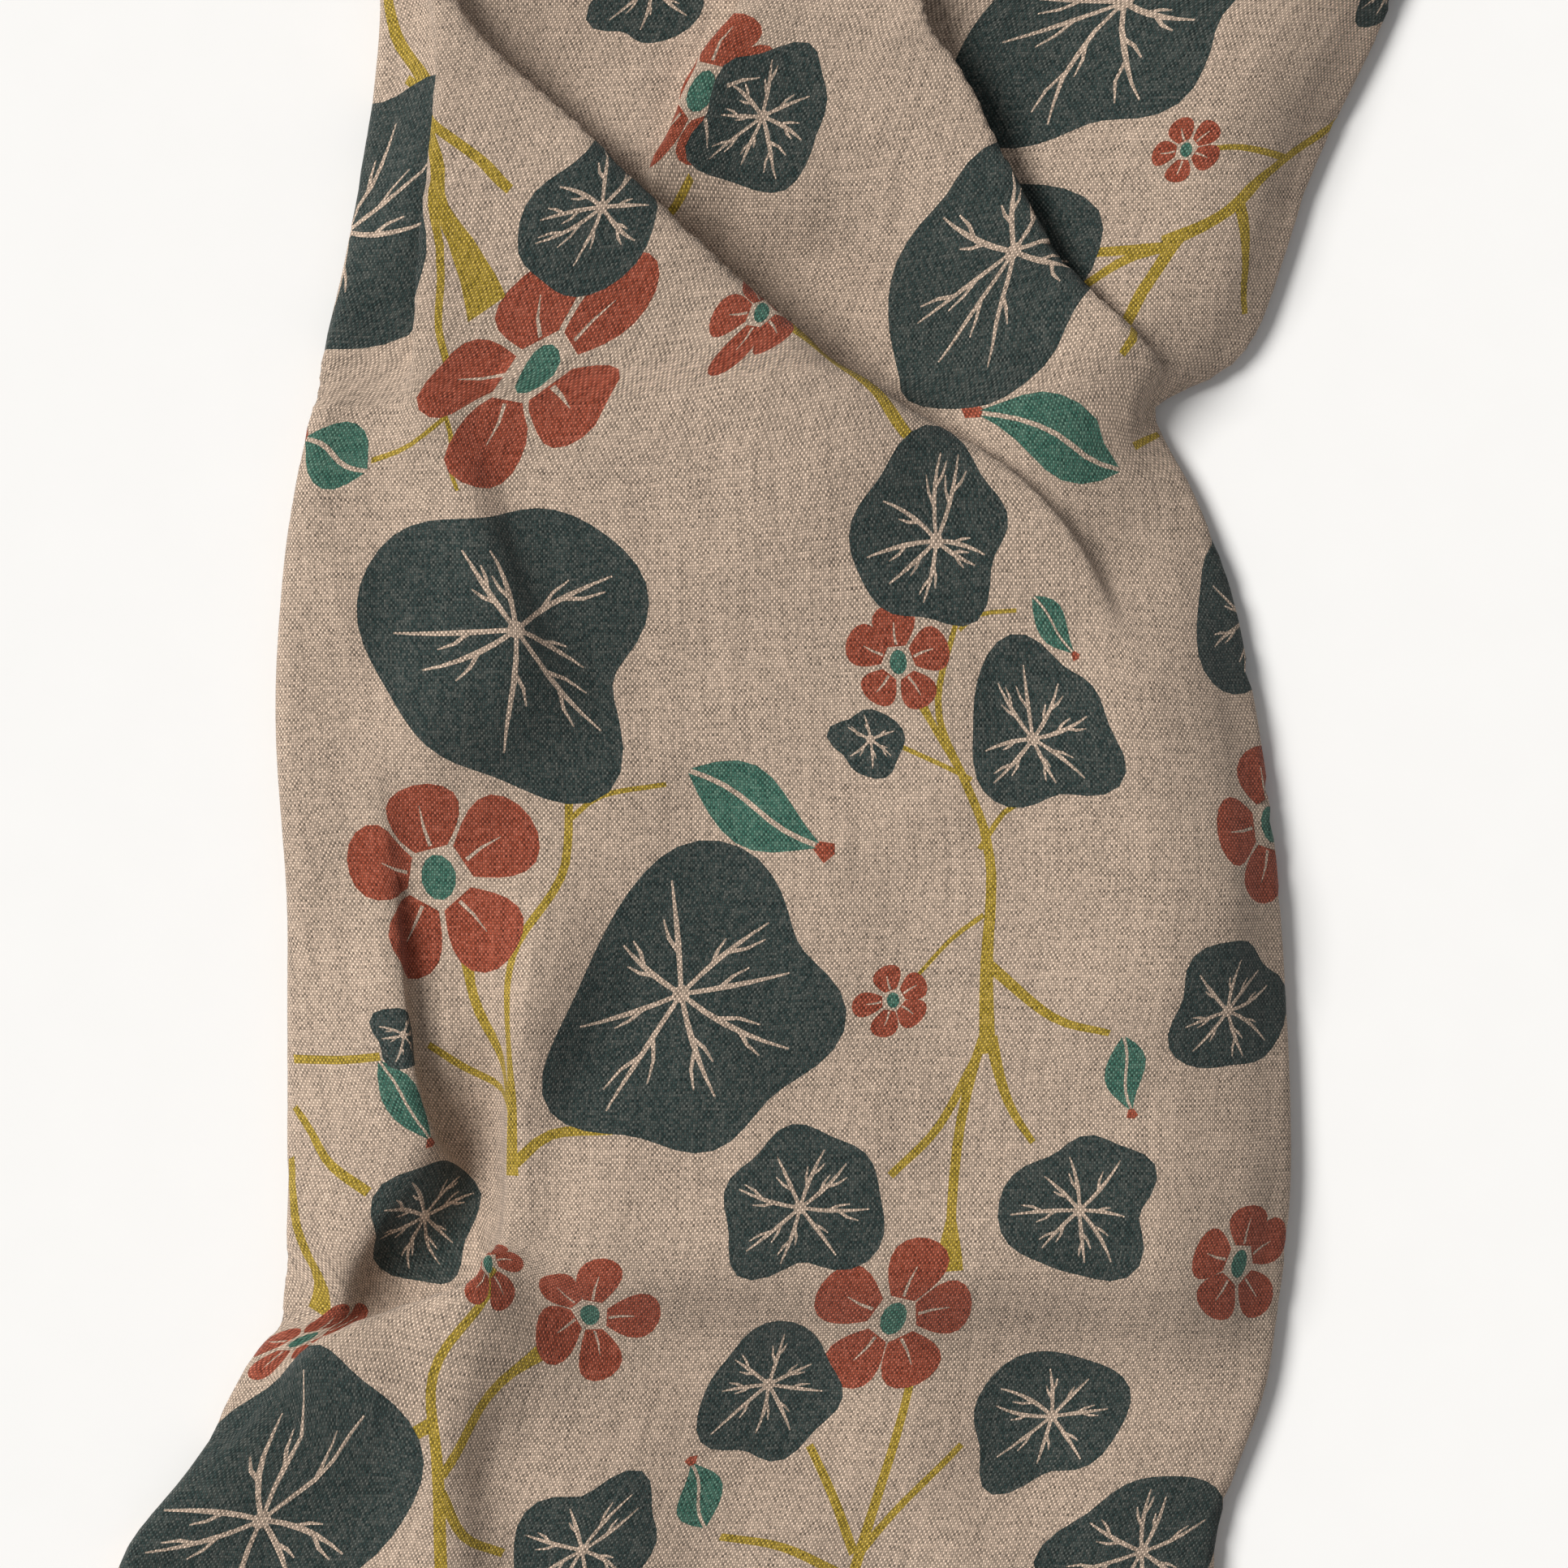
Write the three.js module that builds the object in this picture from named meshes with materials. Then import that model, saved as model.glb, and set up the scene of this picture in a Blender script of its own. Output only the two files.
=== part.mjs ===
// Table runner of printed linen, lying loosely folded on a flat surface.
// Millimetres, +Z up. The runner's length lies along Y, its width along X, and it rests on z = 0.
// The cloth is one long rectangle with a hem on each of its four sides. It lies flat and full width
// at both ends. In the middle it is gathered: both long sides are turned under, and three pleats
// and some softer folds run over the top.
import * as THREE from 'three';

// Driving dimensions
const RUNNER_WIDTH = 406;          // across, hem edge to hem edge, laid flat
const RUNNER_LENGTH = 1829;        // along, hem edge to hem edge, laid flat
const CLOTH_THICKNESS = 0.8;       // one layer, with its loft
const SIDE_HEM_WIDTH = 10;         // double-turned hem on each long side
const END_HEM_WIDTH = 25;          // double-turned hem on each short end
const HEM_THICKNESS = 1.4;         // three pressed layers
const STITCH_WIDTH = 0.6;          // the sewing thread's line
const STITCH_THICKNESS = 0.3;
const STITCH_INSET = 1.5;          // from the hem's inner edge to the middle of the stitch line
const PIECE_GAP = 0.4;             // clearance between pieces that touch
const UNDER_TUCK_HEIGHT = 2.2;     // middle of the cloth that is turned under, above the surface
const LEFT_TUCK_SHARE = 0.45;      // how much of the spare width is turned under at the left

// The laid shape below is drawn for this size of cloth, and grows and shrinks with it.
const DRAWN_WIDTH = 406;
const DRAWN_LENGTH = 1829;
const LAID_LENGTH = 1810;          // end to end as it lies, a little less for the folds
const FULL_WIDTH_FROM = 440;       // past this distance from the middle no side is turned under
const FLAT_FROM = 560;             // past this distance from the middle the cloth lies flat

const LARGEST_ROLL_RADIUS = 5;     // where a long side turns under
const SHOULDER_WIDTH = 34;         // how far in from a turned side the cloth comes up to full height
const FOLD_FADE_WIDTH = 14;        // a fold dies away this close to a turned side
const END_FADE_WIDTH = 60;         // and this close to where the cloth lies flat
const STEEPEST_FOLD_SIDE = 8;      // least half width of a fold's side on these plain solids

// Outlines of the laid cloth: [y, x]
const LEFT_OUTLINE = [
  [-905, -202.8], [-440, -202.8], [-400, -200], [-370, -196], [-300, -184], [-240, -176],
  [-193, -165], [-166, -145], [-145, -134], [-128, -124], [-97, -123], [-37, -123], [19, -126],
  [53, -124], [99, -116], [139, -107], [193, -100], [250, -112], [320, -156], [370, -188],
  [400, -197.5], [440, -202.8], [905, -202.8],
];
const RIGHT_OUTLINE = [
  [-905, 202.8], [-440, 202.8], [-400, 197.5], [-370, 188], [-300, 140], [-240, 114], [-193, 107],
  [-143, 121], [-91, 126], [-27, 123], [41, 113], [70, 103], [87, 94], [94, 92], [100, 103],
  [106, 112], [129, 124], [150, 131], [193, 151], [250, 172], [330, 190], [370, 196.5],
  [400, 200.5], [440, 202.8], [905, 202.8],
];
// Height of the cloth over the middle, and just inside each turned side: [y, z]
const MIDDLE_HEIGHT = [
  [-905, 0], [-560, 0], [-400, 3], [-300, 6], [-193, 9], [-130, 11], [-60, 14], [20, 14], [70, 12],
  [120, 8], [193, 6], [300, 5], [400, 3], [560, 0], [905, 0],
];
const LEFT_HEIGHT = [
  [-905, 0], [-560, 0], [-450, 11], [-193, 8], [-60, 9], [60, 9], [193, 8], [450, 11], [560, 0],
  [905, 0],
];
const RIGHT_HEIGHT = [
  [-905, 0], [-560, 0], [-450, 11], [-193, 8], [-60, 9], [80, 8], [110, 6], [193, 6], [450, 11],
  [560, 0], [905, 0],
];

// Folds: a crest line of [x, y, height], and the half widths of its two sides, looking along it.
const FOLDS = {
  cross_pleat: { left: 7, right: 34, crest: [
    [-128, 330, 0], [-103, 260, 7], [-73, 193, 12], [-44, 157, 12], [-12, 127, 12], [11, 107, 11],
    [29, 87, 10], [55, 63, 7], [73, 35, 4], [87, 3, 0]] },
  middle_pleat_left_side: { left: 16, right: 5, crest: [
    [8, 330, 0], [4, 250, 7], [-3, 193, 9], [-15, 173, 9], [-21, 157, 8], [-26, 146, 5], [-26, 132, 0]] },
  middle_pleat_right_side: { left: 5, right: 26, crest: [
    [8, 330, 0], [20, 250, 8], [30, 193, 11], [42, 171, 12], [62, 132, 12], [72, 119, 11],
    [84, 101, 8], [92, 86, 0]] },
  left_pleat: { left: 22, right: 4, crest: [
    [-100, 250, 0], [-94, 193, 4], [-90, 160, 5], [-88, 130, 5], [-90, 100, 4], [-92, 75, 0]] },
  long_crease: { left: 6, right: 14, crest: [
    [-82, 120, 0], [-78, 78, 3], [-65, 37, 3], [-61, 5, 0]] },
  side_ridge: { left: 9, right: 6, crest: [
    [-112, 35, 0], [-106, 8, 4], [-97, -17, 6], [-90, -47, 7], [-83, -80, 6], [-72, -96, 3]] },
  left_hollow: { left: 8, right: 8, crest: [[-112, 20, 0], [-109, -8, -4], [-106, -38, 0]] },
  pocket: { left: 9, right: 9, crest: [[-100, -60, 0], [-94, -85, -6], [-88, -108, -9], [-90, -122, 0]] },
  pocket_lip: { left: 5, right: 22, crest: [
    [-113, -138, 2], [-98, -127, 7], [-83, -121, 8], [-68, -114, 5], [-60, -108, 0]] },
  narrow_ridge: { left: 8, right: 6, crest: [
    [-54, -20, 0], [-60, -45, 4], [-64, -75, 6], [-64, -105, 6], [-66, -122, 4]] },
  long_cross_fold: { left: 30, right: 9, crest: [
    [-70, -112, 4], [-40, -115, 9], [20, -117, 9], [75, -118, 8], [108, -116, 4]] },
  near_left_ridge: { left: 10, right: 14, crest: [
    [-66, -126, 4], [-78, -147, 7], [-85, -170, 8], [-83, -200, 7], [-80, -270, 5], [-92, -380, 0]] },
  near_middle_ripple: { left: 26, right: 22, crest: [
    [10, -180, 0], [22, -240, 5], [36, -310, 6], [20, -400, 3], [10, -480, 0]] },
  near_right_ripple: { left: 20, right: 24, crest: [
    [70, -260, 0], [96, -340, 6], [120, -420, 4], [130, -500, 0]] },
  far_left_ripple: { left: 24, right: 26, crest: [
    [-60, 290, 0], [-95, 370, 6], [-120, 440, 4], [-126, 510, 0]] },
  far_right_ripple: { left: 26, right: 22, crest: [
    [110, 200, 0], [96, 290, 6], [104, 380, 6], [90, 480, 0]] },
};

// How finely the plain solids are cut
const LINES_ACROSS = 26;
const END_HEM_LINES = 8;
const BEND_GATHER = 22;            // each radian of bend draws in as many lines as this many mm
const SECTION_STEP = 1;            // spacing of the points that a section is first drawn with
const CREST_STEP = 4;              // spacing of the points that a crest line is drawn with
const TURN_STEPS = 12;             // points round the half circle where a side turns under
const TUCK_STEP = 4;               // spacing of the points along the cloth that is turned under
const BEND_PROBES = 200;           // places across a section at which its bend is measured
const TANGENT_REACH = 1.2;         // distance each way over which a section's direction is taken
const STATION_SPANS = [            // [from y, to y, spacing]
  [-905, -560, 115], [-560, -440, 40], [-440, -335, 7.5], [-335, -240, 32], [-240, 240, 17],
  [240, 335, 32], [335, 440, 7.5], [440, 560, 40], [560, 905, 115],
];

const COLOURS = { linen: 0xae9986, hem: 0xa8937f, thread: 0xcabba6 };

const acrossScale = RUNNER_WIDTH / DRAWN_WIDTH;
const alongScale = RUNNER_LENGTH / DRAWN_LENGTH;

const clamp01 = (value) => Math.min(1, Math.max(0, value));
const smooth = (value) => clamp01(value) ** 2 * (3 - 2 * clamp01(value));

// A smooth curve through [y, value] points that never overshoots them (monotone cubic).
function curveThrough(points) {
  const slopes = points.slice(1).map(([y, value], i) => (value - points[i][1]) / (y - points[i][0]));
  const tangents = points.map((point, i) => {
    if (i === 0 || i === points.length - 1 || slopes[i - 1] * slopes[i] <= 0) return 0;
    return 2 * slopes[i - 1] * slopes[i] / (slopes[i - 1] + slopes[i]);
  });
  return (y) => {
    let i = points.findIndex(([end]) => y < end) - 1;
    if (i === -2) i = points.length - 2;
    i = Math.max(i, 0);
    const span = points[i + 1][0] - points[i][0];
    const t = clamp01((y - points[i][0]) / span);
    return points[i][1] * (1 + 2 * t) * (1 - t) ** 2 + points[i + 1][1] * t * t * (3 - 2 * t)
      + span * (tangents[i] * t * (1 - t) ** 2 - tangents[i + 1] * t * t * (1 - t));
  };
}

const leftOutline = curveThrough(LEFT_OUTLINE);
const rightOutline = curveThrough(RIGHT_OUTLINE);
const middleHeight = curveThrough(MIDDLE_HEIGHT);
const leftHeight = curveThrough(LEFT_HEIGHT);
const rightHeight = curveThrough(RIGHT_HEIGHT);

// A fold's crest as closely spaced points, each with the direction of the line there.
function drawCrest({ crest }) {
  const points = crest.map((point) => new THREE.Vector3(...point));
  const curve = new THREE.CatmullRomCurve3(points, false, 'centripetal');
  const count = Math.ceil(curve.getLength() / CREST_STEP);
  return Array.from({ length: count + 1 }, (_, i) => ({
    point: curve.getPoint(i / count), along: curve.getTangent(i / count),
  }));
}

const folds = Object.values(FOLDS).map((fold) => ({ ...fold, samples: drawCrest(fold) }));

function foldHeight(fold, x, y) {
  let nearest = fold.samples[0];
  let least = Infinity;
  for (const sample of fold.samples) {
    const distance = (sample.point.x - x) ** 2 + (sample.point.y - y) ** 2;
    if (distance < least) {
      least = distance;
      nearest = sample;
    }
  }
  const { point, along } = nearest;
  const isLeft = along.x * (y - point.y) - along.y * (x - point.x) > 0;
  const halfWidth = Math.max(isLeft ? fold.left : fold.right, STEEPEST_FOLD_SIDE);
  return point.z * Math.exp(-least / halfWidth ** 2);
}

// Middle of the cloth's thickness at a place on top, in the drawn frame.
function topHeight(x, y) {
  const fromLeft = x - leftOutline(y);
  const fromRight = rightOutline(y) - x;
  const left = leftHeight(y) + (middleHeight(y) - leftHeight(y)) * smooth(fromLeft / SHOULDER_WIDTH);
  const right = rightHeight(y) + (middleHeight(y) - rightHeight(y)) * smooth(fromRight / SHOULDER_WIDTH);
  const sideFade = smooth(Math.min(fromLeft, fromRight) / FOLD_FADE_WIDTH);
  const endFade = smooth((FLAT_FROM - Math.abs(y)) / END_FADE_WIDTH);
  const raised = fromLeft < fromRight ? left : right;
  const relief = folds.reduce((sum, fold) => sum + foldHeight(fold, x, y), 0);
  return CLOTH_THICKNESS / 2 + Math.max(0, raised + sideFade * endFade * relief);
}

// One long side of a section, from the top's edge: the half circle in which it turns under, and the
// spare cloth below. Where no side is turned under, the cloth just runs on flat.
function drawSide(edgeX, inward, y) {
  if (Math.abs(y) >= FULL_WIDTH_FROM) {
    return { radius: 0, points: [[edgeX - inward * RUNNER_WIDTH, topHeight(edgeX, y)]] };
  }
  const insideZ = topHeight(edgeX + inward * LARGEST_ROLL_RADIUS, y);
  const radius = Math.min(LARGEST_ROLL_RADIUS, (insideZ - UNDER_TUCK_HEIGHT) / 2);
  const topZ = topHeight(edgeX + inward * radius, y);
  const depth = (topZ - UNDER_TUCK_HEIGHT) / 2;
  const points = [];
  for (let i = 1; i <= TURN_STEPS; i += 1) {
    const angle = Math.PI * i / TURN_STEPS;
    const x = edgeX + inward * radius * (1 - Math.sin(angle));
    points.push([x, topZ - depth * (1 - Math.cos(angle))]);
  }
  for (let reach = TUCK_STEP; reach <= RUNNER_WIDTH; reach += TUCK_STEP) {
    points.push([edgeX + inward * (radius + reach), UNDER_TUCK_HEIGHT]);
  }
  return { radius, points };
}

// One section of the laid cloth, across it: points [x, z] from its left edge to its right edge,
// with as much turned under on each side as the top doesn't use.
function drawSection(y) {
  const left = drawSide(leftOutline(y), 1, y);
  const right = drawSide(rightOutline(y), -1, y);
  const from = leftOutline(y) + left.radius;
  const to = rightOutline(y) - right.radius;
  const steps = Math.ceil((to - from) / SECTION_STEP);
  const top = Array.from({ length: steps + 1 }, (_, i) => {
    const x = from + (to - from) * i / steps;
    return [x, topHeight(x, y)];
  });
  const points = [...left.points.reverse(), ...top, ...right.points];
  const firstOnTop = left.points.length;
  return measured(points.map(([x, z]) => [x * acrossScale, z]), firstOnTop, firstOnTop + steps);
}

// Arc lengths along a section, cut to the cloth's own width.
function measured(points, leftIndex, rightIndex) {
  const lengths = [0];
  for (let i = 1; i < points.length; i += 1) {
    const [x, z] = points[i - 1];
    lengths.push(lengths[i - 1] + Math.hypot(points[i][0] - x, points[i][1] - z));
  }
  const topLength = lengths[rightIndex] - lengths[leftIndex];
  const start = lengths[leftIndex] - (RUNNER_WIDTH - topLength) * LEFT_TUCK_SHARE;
  return { points, lengths, start };
}

// Place and upward normal of the cloth's middle surface, at a distance across from its left edge.
function placeOn(section, across) {
  const { points, lengths, start } = section;
  const at = (distance) => {
    let i = lengths.findIndex((length) => length > distance) - 1;
    if (i < 0) i = distance < 0 ? 0 : lengths.length - 2;
    const t = (distance - lengths[i]) / (lengths[i + 1] - lengths[i]);
    return [0, 1].map((axis) => points[i][axis] + (points[i + 1][axis] - points[i][axis]) * t);
  };
  const before = at(start + across - TANGENT_REACH);
  const after = at(start + across + TANGENT_REACH);
  const [x, z] = at(start + across);
  const tangent = new THREE.Vector2(after[0] - before[0], after[1] - before[1]).normalize();
  return { x, z, normal: new THREE.Vector2(-tangent.y, tangent.x) };
}

// Distances across a section that divide it evenly, closer together where the cloth bends.
function linesAcross(section, from, to, count) {
  const step = (to - from) / BEND_PROBES;
  const weights = [0];
  let last = placeOn(section, from).normal;
  for (let i = 1; i <= BEND_PROBES; i += 1) {
    const { normal } = placeOn(section, from + i * step);
    const bend = Math.acos(Math.min(1, Math.max(-1, last.dot(normal))));
    weights.push(weights[i - 1] + step + BEND_GATHER * bend);
    last = normal;
  }
  return Array.from({ length: count + 1 }, (_, line) => {
    if (line === count) return to;
    const wanted = weights[BEND_PROBES] * line / count;
    const i = Math.max(1, weights.findIndex((weight) => weight >= wanted));
    const t = (wanted - weights[i - 1]) / (weights[i] - weights[i - 1]);
    return from + (i - 1 + t) * step;
  });
}

// A closed solid between two offsets from the cloth's middle surface. `lines` gives, for each
// station, the distances across at which the solid's long edges run. Both faces are divided along
// the same diagonals, so thin cloth keeps its thickness where it twists.
function clothSolid(stations, lines, below, above) {
  const vertices = [];
  const columns = lines[0].length;
  for (const offset of [below, above]) {
    stations.forEach((station, row) => {
      for (const across of lines[row]) {
        const { x, z, normal } = placeOn(station.section, across);
        vertices.push(x + normal.x * offset, station.y, z + normal.y * offset);
      }
    });
  }
  const rows = stations.length;
  const index = (layer, row, column) => (layer * rows + row) * columns + column;
  const faces = [];
  const quad = (a, b, c, d) => faces.push(a, b, c, a, c, d);
  for (let row = 0; row < rows - 1; row += 1) {
    for (let column = 0; column < columns - 1; column += 1) {
      const corners = [[row, column], [row, column + 1], [row + 1, column + 1], [row + 1, column]];
      const [a, b, c, d] = corners.map(([r, k]) => index(1, r, k));
      const [e, f, g, h] = corners.map(([r, k]) => index(0, r, k));
      quad(a, b, c, d);
      quad(e, h, g, f);
    }
    quad(index(0, row, 0), index(1, row, 0), index(1, row + 1, 0), index(0, row + 1, 0));
    const end = columns - 1;
    quad(index(0, row + 1, end), index(1, row + 1, end), index(1, row, end), index(0, row, end));
  }
  for (let column = 0; column < columns - 1; column += 1) {
    const end = rows - 1;
    quad(index(0, 0, column), index(0, 0, column + 1), index(1, 0, column + 1), index(1, 0, column));
    quad(index(1, end, column), index(1, end, column + 1), index(0, end, column + 1), index(0, end, column));
  }
  const geometry = new THREE.BufferGeometry();
  geometry.setAttribute('position', new THREE.Float32BufferAttribute(vertices, 3));
  geometry.setIndex(faces);
  geometry.computeVertexNormals();
  return geometry;
}

const cloth = (colour) => new THREE.MeshStandardMaterial({ color: colour, roughness: 0.92, metalness: 0 });

const laidEnd = LAID_LENGTH / 2 * alongScale;
const stationAt = (y) => ({ y, section: drawSection(y / alongScale) });

// Stations between the two end hems, for everything that runs the length of the runner
const bodyEnd = laidEnd - END_HEM_WIDTH - PIECE_GAP;
const bodyYs = [-bodyEnd];
for (const [from, to, spacing] of STATION_SPANS) {
  const count = Math.round((to - from) / spacing);
  for (let i = 0; i < count; i += 1) {
    const y = (from + (to - from) * i / count) * alongScale;
    if (y > bodyYs.at(-1) + spacing / 2 && y < bodyEnd - spacing / 2) bodyYs.push(y);
  }
}
bodyYs.push(bodyEnd);
const bodyStations = bodyYs.map(stationAt);

const halfThickness = CLOTH_THICKNESS / 2;
const hemTop = HEM_THICKNESS - halfThickness;
const stitchBottom = hemTop + PIECE_GAP;
const stitchTop = stitchBottom + STITCH_THICKNESS;

const runner = new THREE.Group();

function addPiece(name, geometry, colour) {
  const mesh = new THREE.Mesh(geometry, cloth(colour));
  mesh.name = name;
  runner.add(mesh);
}

function makePanel() {
  const from = SIDE_HEM_WIDTH + PIECE_GAP;
  const lines = bodyStations.map(({ section }) => (
    linesAcross(section, from, RUNNER_WIDTH - from, LINES_ACROSS)));
  addPiece('linen_panel', clothSolid(bodyStations, lines, -halfThickness, halfThickness), COLOURS.linen);
}

// A long hem and its line of stitches. `place` turns a distance in from the cloth's edge into a
// distance across from the left edge.
function makeSideHem(side, place) {
  const ordered = (distances) => distances.map(place).sort((a, b) => a - b);
  const stitchMiddle = SIDE_HEM_WIDTH - STITCH_INSET;
  const stitchEdges = [stitchMiddle - STITCH_WIDTH / 2, stitchMiddle + STITCH_WIDTH / 2];
  const hemLines = ordered([0, SIDE_HEM_WIDTH / 2, ...stitchEdges, SIDE_HEM_WIDTH]);
  const stitchLines = ordered(stitchEdges);
  const strip = (lines, below, above) => (
    clothSolid(bodyStations, bodyStations.map(() => lines), below, above));
  addPiece(`hem_${side}`, strip(hemLines, -halfThickness, hemTop), COLOURS.hem);
  addPiece(`stitches_${side}`, strip(stitchLines, stitchBottom, stitchTop), COLOURS.thread);
}

// A short hem and its line of stitches, flat at one end of the runner.
function makeEndHem(end, direction) {
  const atEnd = (distances) => distances.map((distance) => direction * (laidEnd - distance))
    .sort((a, b) => a - b).map(stationAt);
  const across = Array.from({ length: END_HEM_LINES + 1 }, (_, i) => RUNNER_WIDTH * i / END_HEM_LINES);
  const stitchAcross = across.map((distance) => (
    Math.min(Math.max(distance, SIDE_HEM_WIDTH), RUNNER_WIDTH - SIDE_HEM_WIDTH)));
  const stitchMiddle = END_HEM_WIDTH - STITCH_INSET;
  const stitchEdges = [stitchMiddle - STITCH_WIDTH / 2, stitchMiddle + STITCH_WIDTH / 2];
  const strip = (distances, lines, below, above) => (
    clothSolid(atEnd(distances), distances.map(() => lines), below, above));
  addPiece(`hem_${end}_end`, strip([0, END_HEM_WIDTH], across, -halfThickness, hemTop), COLOURS.hem);
  addPiece(`stitches_${end}_end`, strip(stitchEdges, stitchAcross, stitchBottom, stitchTop), COLOURS.thread);
}

makePanel();
makeSideHem('left', (distance) => distance);
makeSideHem('right', (distance) => RUNNER_WIDTH - distance);
makeEndHem('near', -1);
makeEndHem('far', 1);

export default runner;
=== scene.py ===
# %% [markdown]
# # A printed linen table runner
# A runner is one long strip of cloth with a hem on each side. This one lies flat at both ends and is
# gathered into soft pleats in the middle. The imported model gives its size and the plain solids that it
# replaces. Here the cloth gets its real folds, its print, its weave, its hems and its stitches.

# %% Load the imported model
import math
import random

import bmesh
import bpy
import numpy as np
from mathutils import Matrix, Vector
from mathutils.geometry import delaunay_2d_cdt


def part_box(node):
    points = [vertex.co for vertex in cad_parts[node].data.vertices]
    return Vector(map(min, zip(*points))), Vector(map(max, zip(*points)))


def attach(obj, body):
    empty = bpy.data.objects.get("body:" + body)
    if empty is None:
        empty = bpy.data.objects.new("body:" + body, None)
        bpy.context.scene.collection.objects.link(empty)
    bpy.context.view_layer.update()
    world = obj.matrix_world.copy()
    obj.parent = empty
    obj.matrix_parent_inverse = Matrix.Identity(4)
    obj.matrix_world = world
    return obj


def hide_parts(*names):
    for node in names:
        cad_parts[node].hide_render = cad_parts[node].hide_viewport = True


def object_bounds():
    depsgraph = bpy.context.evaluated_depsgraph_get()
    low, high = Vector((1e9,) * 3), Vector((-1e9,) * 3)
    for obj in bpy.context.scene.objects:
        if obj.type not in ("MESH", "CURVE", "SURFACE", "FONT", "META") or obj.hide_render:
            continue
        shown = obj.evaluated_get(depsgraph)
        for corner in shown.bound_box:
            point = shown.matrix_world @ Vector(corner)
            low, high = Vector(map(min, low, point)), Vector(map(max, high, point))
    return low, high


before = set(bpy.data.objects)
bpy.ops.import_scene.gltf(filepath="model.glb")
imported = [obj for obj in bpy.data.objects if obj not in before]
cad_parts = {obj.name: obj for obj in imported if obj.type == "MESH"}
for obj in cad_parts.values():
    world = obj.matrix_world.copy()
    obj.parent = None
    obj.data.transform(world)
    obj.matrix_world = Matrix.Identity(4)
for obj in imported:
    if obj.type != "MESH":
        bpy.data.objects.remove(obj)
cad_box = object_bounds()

MM = 0.001                      # the shape is worked out in millimetres, and built in metres
print("the packed model's box, in metres:", cad_box)

# %% [markdown]
# ## The camera, the floor and the light
# The cloth is looked at from straight above. A long lens keeps the sides of the folds from leaning
# outwards. The light is a soft sun at the left, like a large window, so each fold is bright on its left
# side and shaded on its right, with a weak sky to fill the shadows.

# %% The camera, straight above the gathered middle
VIEW_WIDTH = 386.4 * MM         # what the picture takes in at the height of the cloth
VIEW_HEIGHT_ABOVE = 1.7
SENSOR_WIDTH = 36.0
CLOTH_LEVEL = 12 * MM

camera_data = bpy.data.cameras.new("camera_above")
camera_data.sensor_width = SENSOR_WIDTH
camera_data.lens = SENSOR_WIDTH * (VIEW_HEIGHT_ABOVE - CLOTH_LEVEL) / VIEW_WIDTH
camera_data.clip_end = 20
camera = bpy.data.objects.new("camera_above", camera_data)
camera.location = (0, 0, VIEW_HEIGHT_ABOVE)
bpy.context.scene.collection.objects.link(camera)
bpy.context.scene.camera = camera
print("lens:", round(camera_data.lens, 1), "mm")

# %% A pale floor
FLOOR_SIZE = 12.0
bpy.ops.object.select_all(action="DESELECT")
bpy.ops.mesh.primitive_plane_add(size=FLOOR_SIZE, location=(0, 0, 0))
floor = bpy.context.object
floor.name = "floor"


def new_material(name):
    """A material with an empty node tree but for its shader, and a function that adds nodes to it."""
    material = bpy.data.materials.new(name)
    material.use_nodes = True
    tree = material.node_tree
    shader = tree.nodes["Principled BSDF"]

    def add(kind, inputs=None, **settings):
        node = tree.nodes.new(kind)
        for key, value in settings.items():
            setattr(node, key, value)
        for socket, value in (inputs or {}).items():
            if isinstance(value, bpy.types.NodeSocket):
                tree.links.new(value, node.inputs[socket])
            else:
                node.inputs[socket].default_value = value
        return node

    return material, shader, add, tree.links.new


floor_paint, shader, add, link = new_material("floor_paint")
coordinates = add("ShaderNodeTexCoord")
grain = add("ShaderNodeTexNoise", {"Vector": coordinates.outputs["Object"], "Scale": 60.0, "Detail": 3.0})
floor_tones = {"A": (0.86, 0.855, 0.845, 1), "B": (0.88, 0.875, 0.865, 1)}
tone = add("ShaderNodeMix", {"Factor": grain.outputs["Fac"], **floor_tones}, data_type="RGBA")
link(tone.outputs["Result"], shader.inputs["Base Color"])
shader.inputs["Roughness"].default_value = 0.7
shader.inputs["Specular IOR Level"].default_value = 0.2
floor.data.materials.append(floor_paint)

# %% A soft sun at the left, and a pale sky
SUN_FROM = math.radians(160)    # where the light comes from, counter-clockwise from +X
SUN_HEIGHT = math.radians(47)
SUN_SOFTNESS = math.radians(28)
SUN_STRENGTH = 3.56
SKY_STRENGTH = 0.28

sun_data = bpy.data.lights.new("window_light", "SUN")
sun_data.angle = SUN_SOFTNESS
sun_data.energy = SUN_STRENGTH
sun_data.color = (1.0, 0.985, 0.96)
sun = bpy.data.objects.new("window_light", sun_data)
sun_way = Vector((math.cos(SUN_FROM), math.sin(SUN_FROM), math.tan(SUN_HEIGHT)))
sun.location = sun_way.normalized() * 2
sun.rotation_euler = (-sun_way).to_track_quat("-Z", "Y").to_euler()
bpy.context.scene.collection.objects.link(sun)

sky = bpy.data.worlds.new("pale_sky")
sky.use_nodes = True
sky.node_tree.nodes["Background"].inputs["Color"].default_value = (0.98, 0.985, 1.0, 1)
sky.node_tree.nodes["Background"].inputs["Strength"].default_value = SKY_STRENGTH
bpy.context.scene.world = sky
bpy.context.scene.view_settings.view_transform = "Standard"
bpy.context.scene.view_settings.look = "None"
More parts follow.
